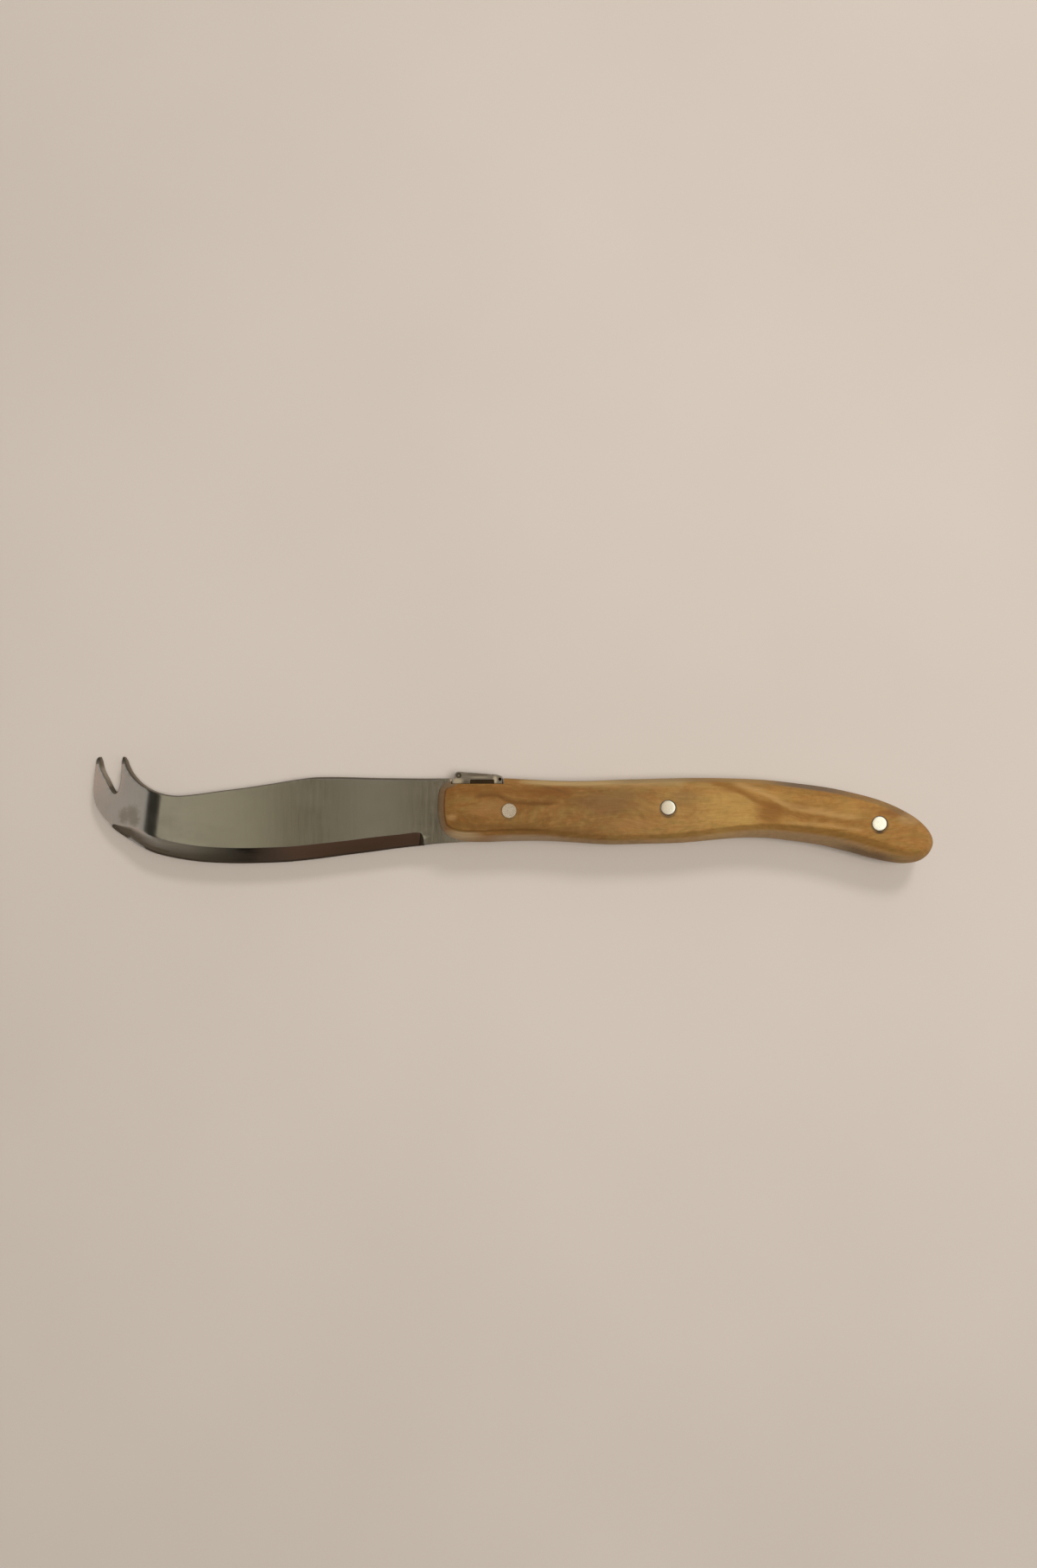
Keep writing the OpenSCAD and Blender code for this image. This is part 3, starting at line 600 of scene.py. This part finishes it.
def rivet_metal():
    m, n = material("rivet_aluminium")
    x, y, z = n.split(object_mm(n))
    scratch = n.noise(n.join(n.mul(n.add(x, y), 5.0), n.mul(n.sub(x, y), 0.8), z), 1.0, 3, 0.6)
    blotch = n.noise(n.join(x, y, z), 0.9, 2, 0.5)
    colour = n.ramp(scratch, [(0.3, (0.80, 0.79, 0.75)), (0.7, (0.91, 0.90, 0.87))], "LINEAR")
    roughness = n.map(blotch, 0.3, 0.7, 0.18, 0.26, "LINEAR")
    # the front one is browner and rougher round its rim
    px, py = n.sub(x, RIVETS["front"][0] - CENTRE[0]), n.sub(y, RIVETS["front"][1] - CENTRE[1])
    out = n.math("SQRT", n.add(n.mul(px, px), n.mul(py, py)))
    rim = n.mul(n.map(out, 1.68, 1.98), n.map(out, 3.0, 2.5))
    colour = n.mix(n.mul(rim, 0.85), colour, (0.56, 0.36, 0.18))
    roughness = n.add(roughness, n.mul(rim, 0.25))
    shader(n, Metallic=1.0, Base_Color=colour, Roughness=roughness, Normal=n.bump(scratch, 0.25, 0.00003))
    return m


def plate_metal(name, base, rough, highlights_and_shade=False):
    m, n = material(name)
    x, y, z = n.split(object_mm(n))
    marks = n.noise(n.join(n.mul(x, 0.8), n.mul(y, 5.0), n.mul(z, 0.8)), 1.0, 3, 0.6)
    blotch = n.noise(n.join(x, y, z), 0.55, 3, 0.6)
    colour = n.ramp(marks, [(0.3, tuple(c * 0.86 for c in base)), (0.7, base)], "LINEAR")
    colour = n.mix(n.map(blotch, 0.5, 0.8, 0, 0.3), colour, tuple(c * 0.6 for c in base))
    if highlights_and_shade:
        # painted highlights low at the blade's end and beside the rear scroll
        for at, rx, ry, much in (((-13.7, 7.75), 2.1, 1.2, 0.9), ((-3.75, 8.1), 0.85, 1.5, 1.0), ((-8.0, 8.75), 3.4, 0.35, 0.40)):
            colour = n.mix(n.mul(near(n, x, y, at, rx, ry), much), colour, (0.86, 0.80, 0.68))
        # darker along the upper edge, and painted shade low down before the panel
        for at, rx, ry, much in (((-8.2, 9.42), 5.2, 0.42, 0.45), ((-11.3, 7.2), 1.7, 1.2, 0.55)):
            colour = n.mix(n.mul(near(n, x, y, at, rx, ry), much), colour, (0.13, 0.105, 0.08))
    roughness = n.map(blotch, 0.3, 0.7, rough, rough + 0.1, "LINEAR")
    shader(n, Metallic=1.0, Base_Color=colour, Roughness=roughness, Normal=n.bump(marks, 0.15, 0.00003))
    return m


flat_steel = steel("steel_brushed", (0.62, 0.61, 0.59), 0.12, 0.045)
bevel_steel = steel("steel_ground", (0.62, 0.60, 0.58), 0.08, 0.06, smudge_and_reflection=False, across=False)
# the cut edges and bores take a dark base colour: painted shade, for the shaded surroundings that they mirror
shaded_cut_steel = steel("steel_cut_edge_painted_shade", (0.225, 0.19, 0.15), 0.40, 0.15, smudge_and_reflection=False, wall=True)
# painted shade on the heel of the bevel, beside the handle
shaded_heel_steel = steel("steel_heel_painted_shade", (0.115, 0.090, 0.062), 0.38, 0.15, smudge_and_reflection=False)
front_wood, back_wood = wood("olive_wood_front", False), wood("olive_wood_back", True)
rivet_finish = rivet_metal()
plate_finish = plate_metal("plate_polished", (0.41, 0.38, 0.345), 0.30, highlights_and_shade=True)
plate_dull = plate_metal("plate_dulled", (0.21, 0.18, 0.145), 0.42)
plate_panel = plate_metal("plate_sunk_panel", (0.105, 0.074, 0.046), 0.45)
plate_dark = plate_metal("plate_darkened", (0.040, 0.028, 0.020), 0.45)


# ---------------------------------------------------------------- blade
def crossing(a, b, c, d):
    """Share of the way from a to b at which it crosses from c to d, or None."""
    r, s = b - a, d - c
    den = r[0] * s[1] - r[1] * s[0]
    if abs(den) < 1e-12:
        return None
    t = ((c - a)[0] * s[1] - (c - a)[1] * s[0]) / den
    u = ((c - a)[0] * r[1] - (c - a)[1] * r[0]) / den
    return (t, u) if 0 <= t < 1 and 0 <= u < 1 else None


def blank_outline():
    """The blank's outline with the notch between the tines and the seat of the plate: x, y, bevel share, rounding."""
    blank, notch = closed_curve(SPINE + TIP + EDGE, 9), closed_curve(NOTCH, 6)
    found = []
    for i in range(len(blank)):
        a, b = blank[i, :2], blank[(i + 1) % len(blank), :2]
        if a[1] < 13.5 or a[0] > -103:
            continue
        for j in range(len(notch)):
            c, d = notch[j, :2], notch[(j + 1) % len(notch), :2]
            hit = crossing(a, b, c, d)
            if hit:
                found.append((i, j, a + (b - a) * hit[0]))
    found.sort(key=lambda f: f[0])
    (i1, j1, p1), (i2, j2, p2) = found[0], found[-1]
    rows = [(*p, ) for p in blank[:i1 + 1]] + [(*p1, 0)]
    rows += [(*notch[j, :2], 0) for j in range(j1 + 1, j2 + 1)] + [(*p2, 0)]
    rows += [(*p, ) for p in blank[i2 + 1:]]
    rows = np.array(rows)
    # the seat of the spine plate, cut square, with the slot for its tongue
    on_seat = (rows[:, 0] > SEAT_FROM) & (rows[:, 0] < SEAT_TO) & (rows[:, 1] > 6)
    k = np.flatnonzero(on_seat)
    top_r = np.interp(SEAT_TO, [rows[k[0], 0], rows[k[0] - 1, 0]], [rows[k[0], 1], rows[k[0] - 1, 1]])
    top_l = np.interp(SEAT_FROM, [rows[k[-1] + 1, 0], rows[k[-1], 0]], [rows[k[-1] + 1, 1], rows[k[-1], 1]])
    seat = [(SEAT_TO, top_r), (SEAT_TO, SEAT_Y), *[t for t in TONGUE[::-1]], (SEAT_FROM, SEAT_Y), (SEAT_FROM, top_l)]
    dense = []
    for a, b in zip(seat, seat[1:]):
        steps = max(1, round(math.dist(a, b) / 0.6))
        dense += [(a[0] + (b[0] - a[0]) * s / steps, a[1] + (b[1] - a[1]) * s / steps, 0) for s in range(steps)]
    dense.append((*seat[-1], 0))
    rows = np.vstack([rows[:k[0]], dense, rows[k[-1] + 1:]])
    kept = [rows[0]]
    for row in rows[1:]:
        corner = min(math.dist(row[:2], p1), math.dist(row[:2], p2)) < 1e-6
        if corner and math.dist(row[:2], kept[-1][:2]) < 0.12:
            kept[-1] = row
        elif corner or math.dist(row[:2], kept[-1][:2]) > 0.12:
            kept.append(row)
    return np.array(kept)


def make_blade():
    rows = blank_outline()
    ring, share = rows[:, :2], np.clip(rows[:, 2], 0, 1)
    share = np.where(share < 0.02, 0, share)
    n = len(ring)
    soft = 0.05 + 0.24 * (1 - smooth(ring[:, 0], -20.5, -18.5))
    step = inset_dirs(ring)
    soft = soft + 0.17 * (1 - smooth(ring[:, 0], -99.5, -97.5)) * smooth(-step[:, 0], 0.2, 0.6)
    soft = soft + 0.16 * smooth(ring[:, 0], -58, -50) * (1 - smooth(ring[:, 0], -21, -19.5)) * smooth(-step[:, 1], 0.6, 0.9) * 1.9
    soft = soft * (1 - 0.65 * smooth(ring[:, 1], 12.2, 13.8) * (ring[:, 0] < -102))
    # near the bend the inset follows the bend's own line
    s = (ring - BEND_AT) @ OUTWARD
    near_bend = smooth(s, BEND_FROM - 1.2, BEND_FROM - 0.2) * (1 - smooth(s, -BEND_FROM + 0.2, -BEND_FROM + 1.2))
    lead = (step @ ALONG)
    straight = ALONG[None] * (1 / np.where(np.abs(lead) < 0.5, 0.5 * np.sign(lead + 1e-9), lead))[:, None]
    step = step * (1 - near_bend)[:, None] + straight * near_bend[:, None]
    g = smooth(share, 0.0, 0.3)
    step = step * (1 - g)[:, None] + ALONG[None] * g[:, None]

    half = BLADE_T / 2
    ends = smooth(ring[:, 1], 12.3, 14.4) * (ring[:, 0] < -102)
    profile = []
    width, drop = BEVEL_W * share, 0.85 * np.minimum(1, share / 0.85)
    rim = 0.55 * np.minimum(1, share / 0.3)

    def on_bevel(u):
        t = np.clip((width - u) / np.maximum(width - rim, 1e-6), 0, 1)
        return half - drop * 0.80 * t * (0.84 + 0.16 * t)

    third = (width - rim) / 3
    ground = [(width + 0.12, np.full(n, half)), (width, np.full(n, half) - 0.012), (width - 0.16, on_bevel(width - 0.16)),
              (rim + 2 * third, on_bevel(rim + 2 * third)), (rim + third, on_bevel(rim + third)),
              (rim + 0.06, on_bevel(rim + 0.06)), (rim - 0.04, on_bevel(rim - 0.04) - 0.02 * share),
              (np.zeros(n), half - drop - 0.05 * np.minimum(1, share / 0.85))]
    steps = len(ground)
    for k in range(steps):
        a = math.radians(90 / (steps - 1) * k)
        u = soft * (1 - math.sin(a)) * (1 - g) + np.maximum(ground[k][0], 0.0) * g
        z = (half - soft * (1 - math.cos(a))) * (1 - g) + ground[k][1] * g
        z = z * (1 - 0.55 * ends)
        profile.append((ring + step * u[:, None], z))

    top_ring = profile[0][0]
    holes = [circle(at, RIVET_R, 40) for at in RIVETS.values()]
    # inner points: close rows over the bend, a coarse grid over the rest of the blade
    extra = []
    for s0, ws, gap in ([(s0, 0.7, 0.22) for s0 in np.arange(BEND_FROM - 0.36, -BEND_FROM + 0.37, 0.18)]
                        + [(s0, 1.5, 0.6) for s0 in np.arange(-BEND_FROM + 1.4, 22, 1.5)]
                        + [(s0, 1.8, 0.6) for s0 in np.arange(BEND_FROM - 2.0, -78, -1.8)]):
        w = np.arange(-18, 22, ws)
        p = BEND_AT + np.outer(w, ALONG) + s0 * OUTWARD
        ok = inside(p, top_ring)
        p = p[ok]
        if len(p):
            p = p[away(p, top_ring) > gap]
        extra += [tuple(q) for q in p]
    extra = np.array(extra)
    tris = cap_triangles(top_ring, holes, extra)
    inner = np.vstack([*holes, extra])
    inner_z = half * (1 - 0.55 * smooth(inner[:, 1], 12.3, 14.4) * (inner[:, 0] < -102))

    verts = [bent(p, z) for p, z in profile] + [bent(p, -z) for p, z in profile]
    verts += [bent(inner, inner_z), bent(inner, -inner_z)]
    verts = np.vstack(verts) + (0, 0, MID_Z)
    low, in_top = steps * n, 2 * steps * n
    in_low = in_top + len(inner)
    faces, of = [], []

    def put(face, kind):
        faces.append(face)
        of.append(kind)

    for t in tris:
        put([i if i < n else in_top + i - n for i in t], 0)
        put([low + i if i < n else in_low + i - n for i in t[::-1]], 0)
    for i in range(n):
        j = (i + 1) % n
        ground_here = share[i] > 0.03 and share[j] > 0.03
        heel = ring[i][0] > -25.2
        raw = 0 if step[i][0] < -0.35 or step[i][1] < -0.5 else 3
        for k in range(steps - 1):
            kind = (3 if heel else 1) if ground_here and k > 0 else (2 if k > raw and not ground_here else 0)
            if ground_here and not heel and share[i] < 0.75 and k > 5:
                kind = 2
            put((k * n + i, (k + 1) * n + i, (k + 1) * n + j, k * n + j), kind)
            put((low + k * n + j, low + (k + 1) * n + j, low + (k + 1) * n + i, low + k * n + i), kind)
        k = steps - 1
        put((k * n + i, low + k * n + i, low + k * n + j, k * n + j), 1 if ground_here else 2)
    start = 0
    for hole in holes:
        m = len(hole)
        for i in range(m):
            j = (i + 1) % m
            put((in_top + start + i, in_top + start + j, in_low + start + j, in_low + start + i), 2)
        start += m
    return piece("blade_and_tang", in_row(verts), faces, [flat_steel, bevel_steel, shaded_cut_steel, shaded_heel_steel], of, sharp=38)


# ---------------------------------------------------------------- handle
def make_scale(name, finish, back):
    curve = closed_curve(SCALE, 9)[::-1]
    ring, wide = curve[:, :2], curve[:, 2]
    n = len(ring)
    step = inset_dirs(ring)
    fall = np.minimum(0.8 * wide, SCALE_T - 1.6)
    levels = [(ring + step * 0.09, np.zeros(n)), (ring + step * 0.02, np.full(n, 0.03)), (ring, np.full(n, 0.12)),
              (ring, np.full(n, 0.8))]
    for c in (1.0, 0.985, 0.94, 0.87, 0.78, 0.68, 0.57, 0.46, 0.35, 0.25, 0.165, 0.10, 0.055, 0.025, 0.0):
        up = math.sqrt(1 - c * c)
        across, rise = 1 - c ** (4 / 3), up ** (4 / 3)
        levels.append((ring + step * (wide * across)[:, None], SCALE_T - fall * (1 - rise)))
    top, low = [circle(at, RIVET_R + (0.02 if k == "front" else 0.1), 48) for k, at in RIVETS.items()], [circle(at, RIVET_R + 0.02, 48) for at in RIVETS.values()]
    top_tris = cap_triangles(levels[-1][0], top)
    low_tris = cap_triangles(levels[0][0], low)
    verts = [np.column_stack(level) for level in levels]
    base = len(levels) * n
    for loops, z in ((top, SCALE_T), (low, SCALE_T - 0.14), (low, 0.0)):
        verts += [np.column_stack((c, np.full(len(c), z))) for c in loops]
    verts = np.vstack(verts)
    m = 48 * len(top)
    faces = []
    last = (len(levels) - 1) * n
    for t in top_tris:
        faces.append([last + i if i < n else base + i - n for i in t])
    for t in low_tris:
        faces.append([i if i < n else base + 2 * m + i - n for i in t[::-1]])
    for k in range(len(levels) - 1):
        for i in range(n):
            j = (i + 1) % n
            faces.append((k * n + i, k * n + j, (k + 1) * n + j, (k + 1) * n + i))
    for h in range(len(top)):
        for k in range(2):
            for i in range(48):
                a, b = base + k * m + h * 48 + i, base + k * m + h * 48 + (i + 1) % 48
                faces.append((a, b, b + m, a + m))
    z = verts[:, 2] + SCALE_T + BLADE_T
    if back:
        z = HANDLE_T - z
        faces = [f[::-1] for f in faces]
    o = piece(name, in_row(np.column_stack((verts[:, :2], z))), faces, [finish], sharp=40)
    cut(o, box_tool((SEAT_FROM, SEAT_Y, -1), (SEAT_TO, 14, HANDLE_T + 1)))
    finish_mesh(o, 40, weighted=False)
    return o


def make_rivet(name, at, hollow=False):
    """A solid pin, set flush, its two ends slightly domed with a peened rim, or hammered a little hollow."""
    half = HANDLE_T / 2
    prof = [(0.0, half), (0.5, half - 0.002), (1.0, half - 0.008), (1.4, half - 0.017), (1.70, half - 0.030),
            (1.85, half - 0.045), (1.935, half - 0.07), (1.98, half - 0.11), (RIVET_R, half - 0.18), (RIVET_R, 2.0)]
    if hollow:
        prof = [(0.0, half - 0.0120), (0.5, half - 0.0110), (1.0, half - 0.0084), (1.4, half - 0.0050), (1.70, half - 0.0020),
                (1.85, half - 0.0010), (1.94, half - 0.004), (1.98, half - 0.02), (RIVET_R, half - 0.06), (RIVET_R, 2.0)]
    prof += [(r, -z) for r, z in prof[::-1]]
    m, verts, faces = 56, [], []
    rings = [p for p in prof if p[0] > 0]
    for r, z in rings:
        verts += [(at[0] + r * math.cos(2 * math.pi * i / m), at[1] + r * math.sin(2 * math.pi * i / m), MID_Z + z) for i in range(m)]
    verts += [(*at, MID_Z + half), (*at, MID_Z - half)]
    for k in range(len(rings) - 1):
        for i in range(m):
            j = (i + 1) % m
            faces.append((k * m + i, (k + 1) * m + i, (k + 1) * m + j, k * m + j))
    tip, end, last = len(verts) - 2, len(verts) - 1, (len(rings) - 1) * m
    for i in range(m):
        j = (i + 1) % m
        faces.append((tip, i, j))
        faces.append((end, last + j, last + i))
    return piece(name, in_row(verts), faces, [rivet_finish], sharp=50, weighted=False)


def arc(at, r, a0, a1, steps):
    return [(at[0] + r * math.cos(math.radians(a0 + (a1 - a0) * i / steps)),
             at[1] + r * math.sin(math.radians(a0 + (a1 - a0) * i / steps))) for i in range(steps + 1)]


def prism(name, outline, r, z0, z1, finish):
    """The outline, counterclockwise, drawn out along z, with its two end edges rounded by r."""
    ring = np.array(outline)
    n, step = len(ring), inset_dirs(ring)
    levels = []
    for k in range(5):
        a = math.radians(22.5 * k)
        levels.append((ring + step * (r * (1 - math.sin(a))), z1 - r * (1 - math.cos(a))))
    levels += [(p, z0 + z1 - z) for p, z in levels[::-1]]
    verts = np.vstack([np.column_stack((p, np.full(n, z))) for p, z in levels])
    tris = cap_triangles(levels[0][0])
    last = (len(levels) - 1) * n
    faces = list(tris) + [[last + i for i in t[::-1]] for t in tris]
    for k in range(len(levels) - 1):
        for i in range(n):
            j = (i + 1) % n
            faces.append((k * n + i, (k + 1) * n + i, (k + 1) * n + j, k * n + j))
    return piece(name, in_row(verts), faces, [finish], weighted=False)


def make_plate():
    """The spine plate: a bar with a scroll at each end, filed lines over its top, a dark sunk panel and a ringed eye."""
    rear, front = (-3.6, 8.35), (-14.3, 9.3)
    slope = -0.0758

    def top(x):
        return 10.3 + slope * (x + 14.3)

    outline = [(-16.1, SEAT_Y)] + [(x, SEAT_Y) for x in (-13, -10.5, -8, -5.5)] + [(-2.8, SEAT_Y)]
    outline += arc(rear, 0.95, -15.0, 68, 10) + [(-3.85, 9.40), (-4.4, 9.55)]
    for x in (-5.7, -6.3, -12.0, -12.6):
        outline += arc((x, top(x)), 0.175, 0, -180, 6)
    outline += arc(front, 1.0, 85.7, 190, 14) + [(-15.6, 8.45), (-15.85, 8.05), (-16.1, 7.7)]
    o = prism("spine_plate_body", outline, 0.1, MID_Z - 4.5, MID_Z + 4.5, plate_finish)
    for m in (plate_dark, plate_dull, plate_panel):
        o.data.materials.append(m)
    tongue = prism("tool", [TONGUE[1], TONGUE[2], (-6.7, 7.6), (-11.3, 7.6)], 0.02, SCALE_T, SCALE_T + BLADE_T, plate_finish)
    cut(o, tongue, "UNION")
    for side in (-1, 1):
        face = MID_Z + side * 4.5
        low, high = sorted((face - 0.5 * side, face + 0.5 * side))
        panel = [(-11.3, 6.9), (-4.9, 6.9), (-4.9, 8.05), (-5.1, 8.25), (-11.1, 8.25), (-11.3, 8.05)]
        cut(o, prism("tool", panel, 0.02, low, high, plate_panel))
        eye = prism("tool", [tuple(c) for c in circle(front, 0.72, 32)], 0.02, low, high, plate_dull)
        core = prism("core", [tuple(c) for c in circle(front, 0.28, 24)], 0.02, low - 0.1, high + 0.1, plate_finish)
        cut(eye, core)
        cut(o, eye)
        cut(o, prism("tool", [tuple(c) for c in circle((-3.4, 8.3), 0.46, 28)], 0.02, low, high, plate_dark))
    finish_mesh(o, 34)
    return o


blade = make_blade()
front_scale = make_scale("scale_front", front_wood, False)
back_scale = make_scale("scale_back", back_wood, True)
rivets = {k: make_rivet(f"rivet_{k}", at, k == "front") for k, at in RIVETS.items()}
plate = make_plate()

for o, node, slot in ((blade, "blade", "blade_steel"), (front_scale, "front_scale", "olive_wood"),
                      (back_scale, "back_scale", "olive_wood"), (rivets["front"], "front_rivet", "rivet_metal"),
                      (rivets["middle"], "middle_rivet", "rivet_metal"), (rivets["rear"], "rear_rivet", "rivet_metal"),
                      (plate, "spine_plate", "plate_metal")):
    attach(o, "root")
    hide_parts(node)


# ---------------------------------------------------------------- table, light and camera
def make_floor():
    m, n = material("table")
    c = n.new("ShaderNodeTexCoord").outputs["Object"]
    cloud = n.noise(c, 9.0, 3, 0.5)
    tooth = n.noise(c, 700.0, 3, 0.6)
    colour = n.ramp(cloud, [(0.35, (0.665, 0.614, 0.578)), (0.65, (0.690, 0.639, 0.604))], "LINEAR")
    p = shader(n, Base_Color=colour, Roughness=0.48, Normal=n.bump(tooth, 0.12, 0.0002))
    p.inputs["Specular IOR Level"].default_value = 0.35
    mesh = bpy.data.meshes.new("table")
    ring = circle((0, 0), 2.5, 64)
    mesh.from_pydata([(x, y, -0.00003) for x, y in ring], [], [tuple(range(64))])
    mesh.materials.append(m)
    o = bpy.data.objects.new("table", mesh)
    bpy.context.scene.collection.objects.link(o)


def make_world():
    """A soft studio: pale all round, brighter to the right, with the dark flags that the blade mirrors."""
    w = bpy.data.worlds.new("studio")
    bpy.context.scene.world = w
    w.use_nodes = True
    n = Nodes(w.node_tree)
    x, y, z = n.split(n.new("ShaderNodeTexCoord").outputs["Generated"])
    zc = n.math("MAXIMUM", z, 0.06)
    u, v = n.math("DIVIDE", x, zc), n.math("DIVIDE", y, zc)
    colour = n.mix(n.map(z, 0.0, 0.35), (0.66, 0.61, 0.55), (0.30, 0.28, 0.25))

    def from_to(value, low, high, stops):
        """A ramp whose stops are given in the value's own measure."""
        return n.ramp(n.map(value, low, high, kind="LINEAR"), [((at - low) / (high - low), c) for at, c in stops], "EASE")

    # far side, a little darker
    far = n.mul(n.map(v, 0.15, 0.5), n.map(v, 1.6, 1.1))
    colour = n.mix(n.mul(far, 0.5), colour, (0.25, 0.235, 0.21))
    # a low window beyond the knife
    window = n.mul(n.between(v, 1.7, 3.4, 0.2), n.between(u, -1.4, 1.6, 0.3))
    colour = n.mix(window, colour, (0.62, 0.59, 0.54))
    # to the right it brightens: the three rivets mirror this, each from its own place
    right = n.mul(n.between(u, -0.03, 0.9, 0.02), n.between(v, -0.40, 0.35, 0.10))
    colour = n.mix(right, colour, from_to(u, -0.05, 0.35, [
        (-0.05, (0.20, 0.17, 0.11)), (-0.028, (0.36, 0.285, 0.190)), (-0.008, (0.57, 0.43, 0.290)),
        (0.014, (0.76, 0.55, 0.375)), (0.06, (0.76, 0.585, 0.395)), (0.083, (0.74, 0.61, 0.42)),
        (0.126, (0.80, 0.69, 0.51)), (0.172, (0.84, 0.74, 0.56)), (0.245, (1.24, 1.19, 0.98)), (0.35, (1.40, 1.35, 1.12))]))
    # near side: dark flags that the ground bevel mirrors, darker low down
    near_side = n.mul(n.between(v, -1.7, -0.25, 0.06), n.between(u, -1.8, 0.9, 0.25))
    high_up = from_to(u, -0.60, 0.10, [
        (-0.60, (0.27, 0.23, 0.185)), (-0.48, (0.30, 0.26, 0.215)), (-0.38, (0.22, 0.19, 0.145)),
        (-0.31, (0.130, 0.112, 0.082)), (-0.283, (0.082, 0.073, 0.056)), (-0.268, (0.014, 0.013, 0.009)),
        (-0.258, (0.002, 0.002, 0.001)), (-0.236, (0.002, 0.002, 0.001)),
        (-0.220, (0.084, 0.060, 0.042)), (-0.18, (0.110, 0.062, 0.039)), (-0.09, (0.090, 0.050, 0.030)),
        (0.0, (0.110, 0.062, 0.042))])
    low_down = from_to(u, -0.60, 0.10, [
        (-0.60, (0.125, 0.098, 0.070)), (-0.40, (0.102, 0.080, 0.055)), (-0.325, (0.065, 0.053, 0.035)),
        (-0.277, (0.034, 0.029, 0.021)), (-0.247, (0.026, 0.022, 0.017)), (-0.222, (0.086, 0.061, 0.043)),
        (-0.18, (0.108, 0.062, 0.040)),
        (-0.09, (0.078, 0.044, 0.026)), (0.0, (0.100, 0.056, 0.037))])
    flag = n.mix(n.map(v, -0.39, -0.52), high_up, low_down)
    flag = n.mix(n.map(v, -0.66, -0.90, 0.0, 0.80), flag, (0.048, 0.036, 0.025))
    colour = n.mix(near_side, colour, flag)
    # what the flat of the blade mirrors, left of straight up
    over = n.mul(n.between(u, -0.40, -0.045, 0.015), n.between(v, -0.22, 0.13, 0.04))
    colour = n.mix(over, colour, from_to(u, -0.36, -0.03, [
        (-0.36, (0.51, 0.455, 0.345)), (-0.30, (0.475, 0.43, 0.315)), (-0.26, (0.38, 0.34, 0.225)),
        (-0.218, (0.35, 0.312, 0.21)), (-0.190, (0.11, 0.090, 0.050)), (-0.16, (0.19, 0.163, 0.110)),
        (-0.118, (0.36, 0.32, 0.24)), (-0.094, (0.20, 0.172, 0.112)), (-0.065, (0.045, 0.035, 0.012)),
        (-0.03, (0.16, 0.13, 0.08))]))
    # the black strip that shows in the bend, the pale patch that the bent tip mirrors, and above it the dark
    # that the thinned ends of the tines mirror
    patch = n.mul(n.between(u, -1.6, -0.60, 0.05), n.between(v, -0.35, 0.34, 0.05))
    colour = n.mix(patch, colour, from_to(u, -0.98, -0.86, [(-0.98, (0.475, 0.385, 0.32)), (-0.86, (0.405, 0.375, 0.33))]))
    strip = n.mul(n.between(u, -0.74, -0.349, 0.045), n.between(v, -0.24, 0.35, 0.06))
    colour = n.mix(strip, colour, (0.034, 0.031, 0.024))
    ends = n.mul(n.between(u, -1.7, -0.5, 0.1), n.between(v, 0.46, 1.6, 0.06))
    colour = n.mix(ends, colour, (0.20, 0.17, 0.135))
    bg = n.new("ShaderNodeBackground")
    n.put(colour, bg.inputs["Color"])
    bg.inputs["Strength"].default_value = 1.0
    out = n.new("ShaderNodeOutputWorld")
    n.put(bg.outputs[0], out.inputs[0])


def make_lights():
    """A soft box nearly overhead and a smaller one beyond the knife, which casts its shadow towards the near side.
    Neither is seen in gloss: the metal mirrors the studio's own flags instead."""
    for name, at, size, energy in (("overhead", (0.145, 0.0, 0.75), 0.20, 2.40), ("beyond", (0.30, 0.66, 0.69), 0.22, 2.65)):
        d = bpy.data.lights.new(name, "AREA")
        d.shape, d.size, d.energy, d.color = "DISK", size, energy, (1.0, 0.95, 0.89)
        o = bpy.data.objects.new(name, d)
        o.location = at
        o.rotation_mode = "QUATERNION"
        o.rotation_quaternion = Vector(at).to_track_quat("Z", "Y")
        o.visible_glossy = False
        bpy.context.scene.collection.objects.link(o)


def make_camera():
    """Straight down on the knife from a little over 300 mm. The picture is 1200 x 1814 pixels."""
    d = bpy.data.cameras.new("camera")
    d.sensor_width, d.sensor_fit = 36, "AUTO"
    d.lens = 1350 / 1814 * 36
    d.clip_start, d.clip_end = 0.01, 20
    o = bpy.data.objects.new("camera", d)
    o.location = (0.00244, 0.00698, 0.3186)
    bpy.context.scene.collection.objects.link(o)
    bpy.context.scene.camera = o


make_floor()
make_world()
make_lights()
make_camera()
bpy.context.scene.view_settings.view_transform = "Standard"
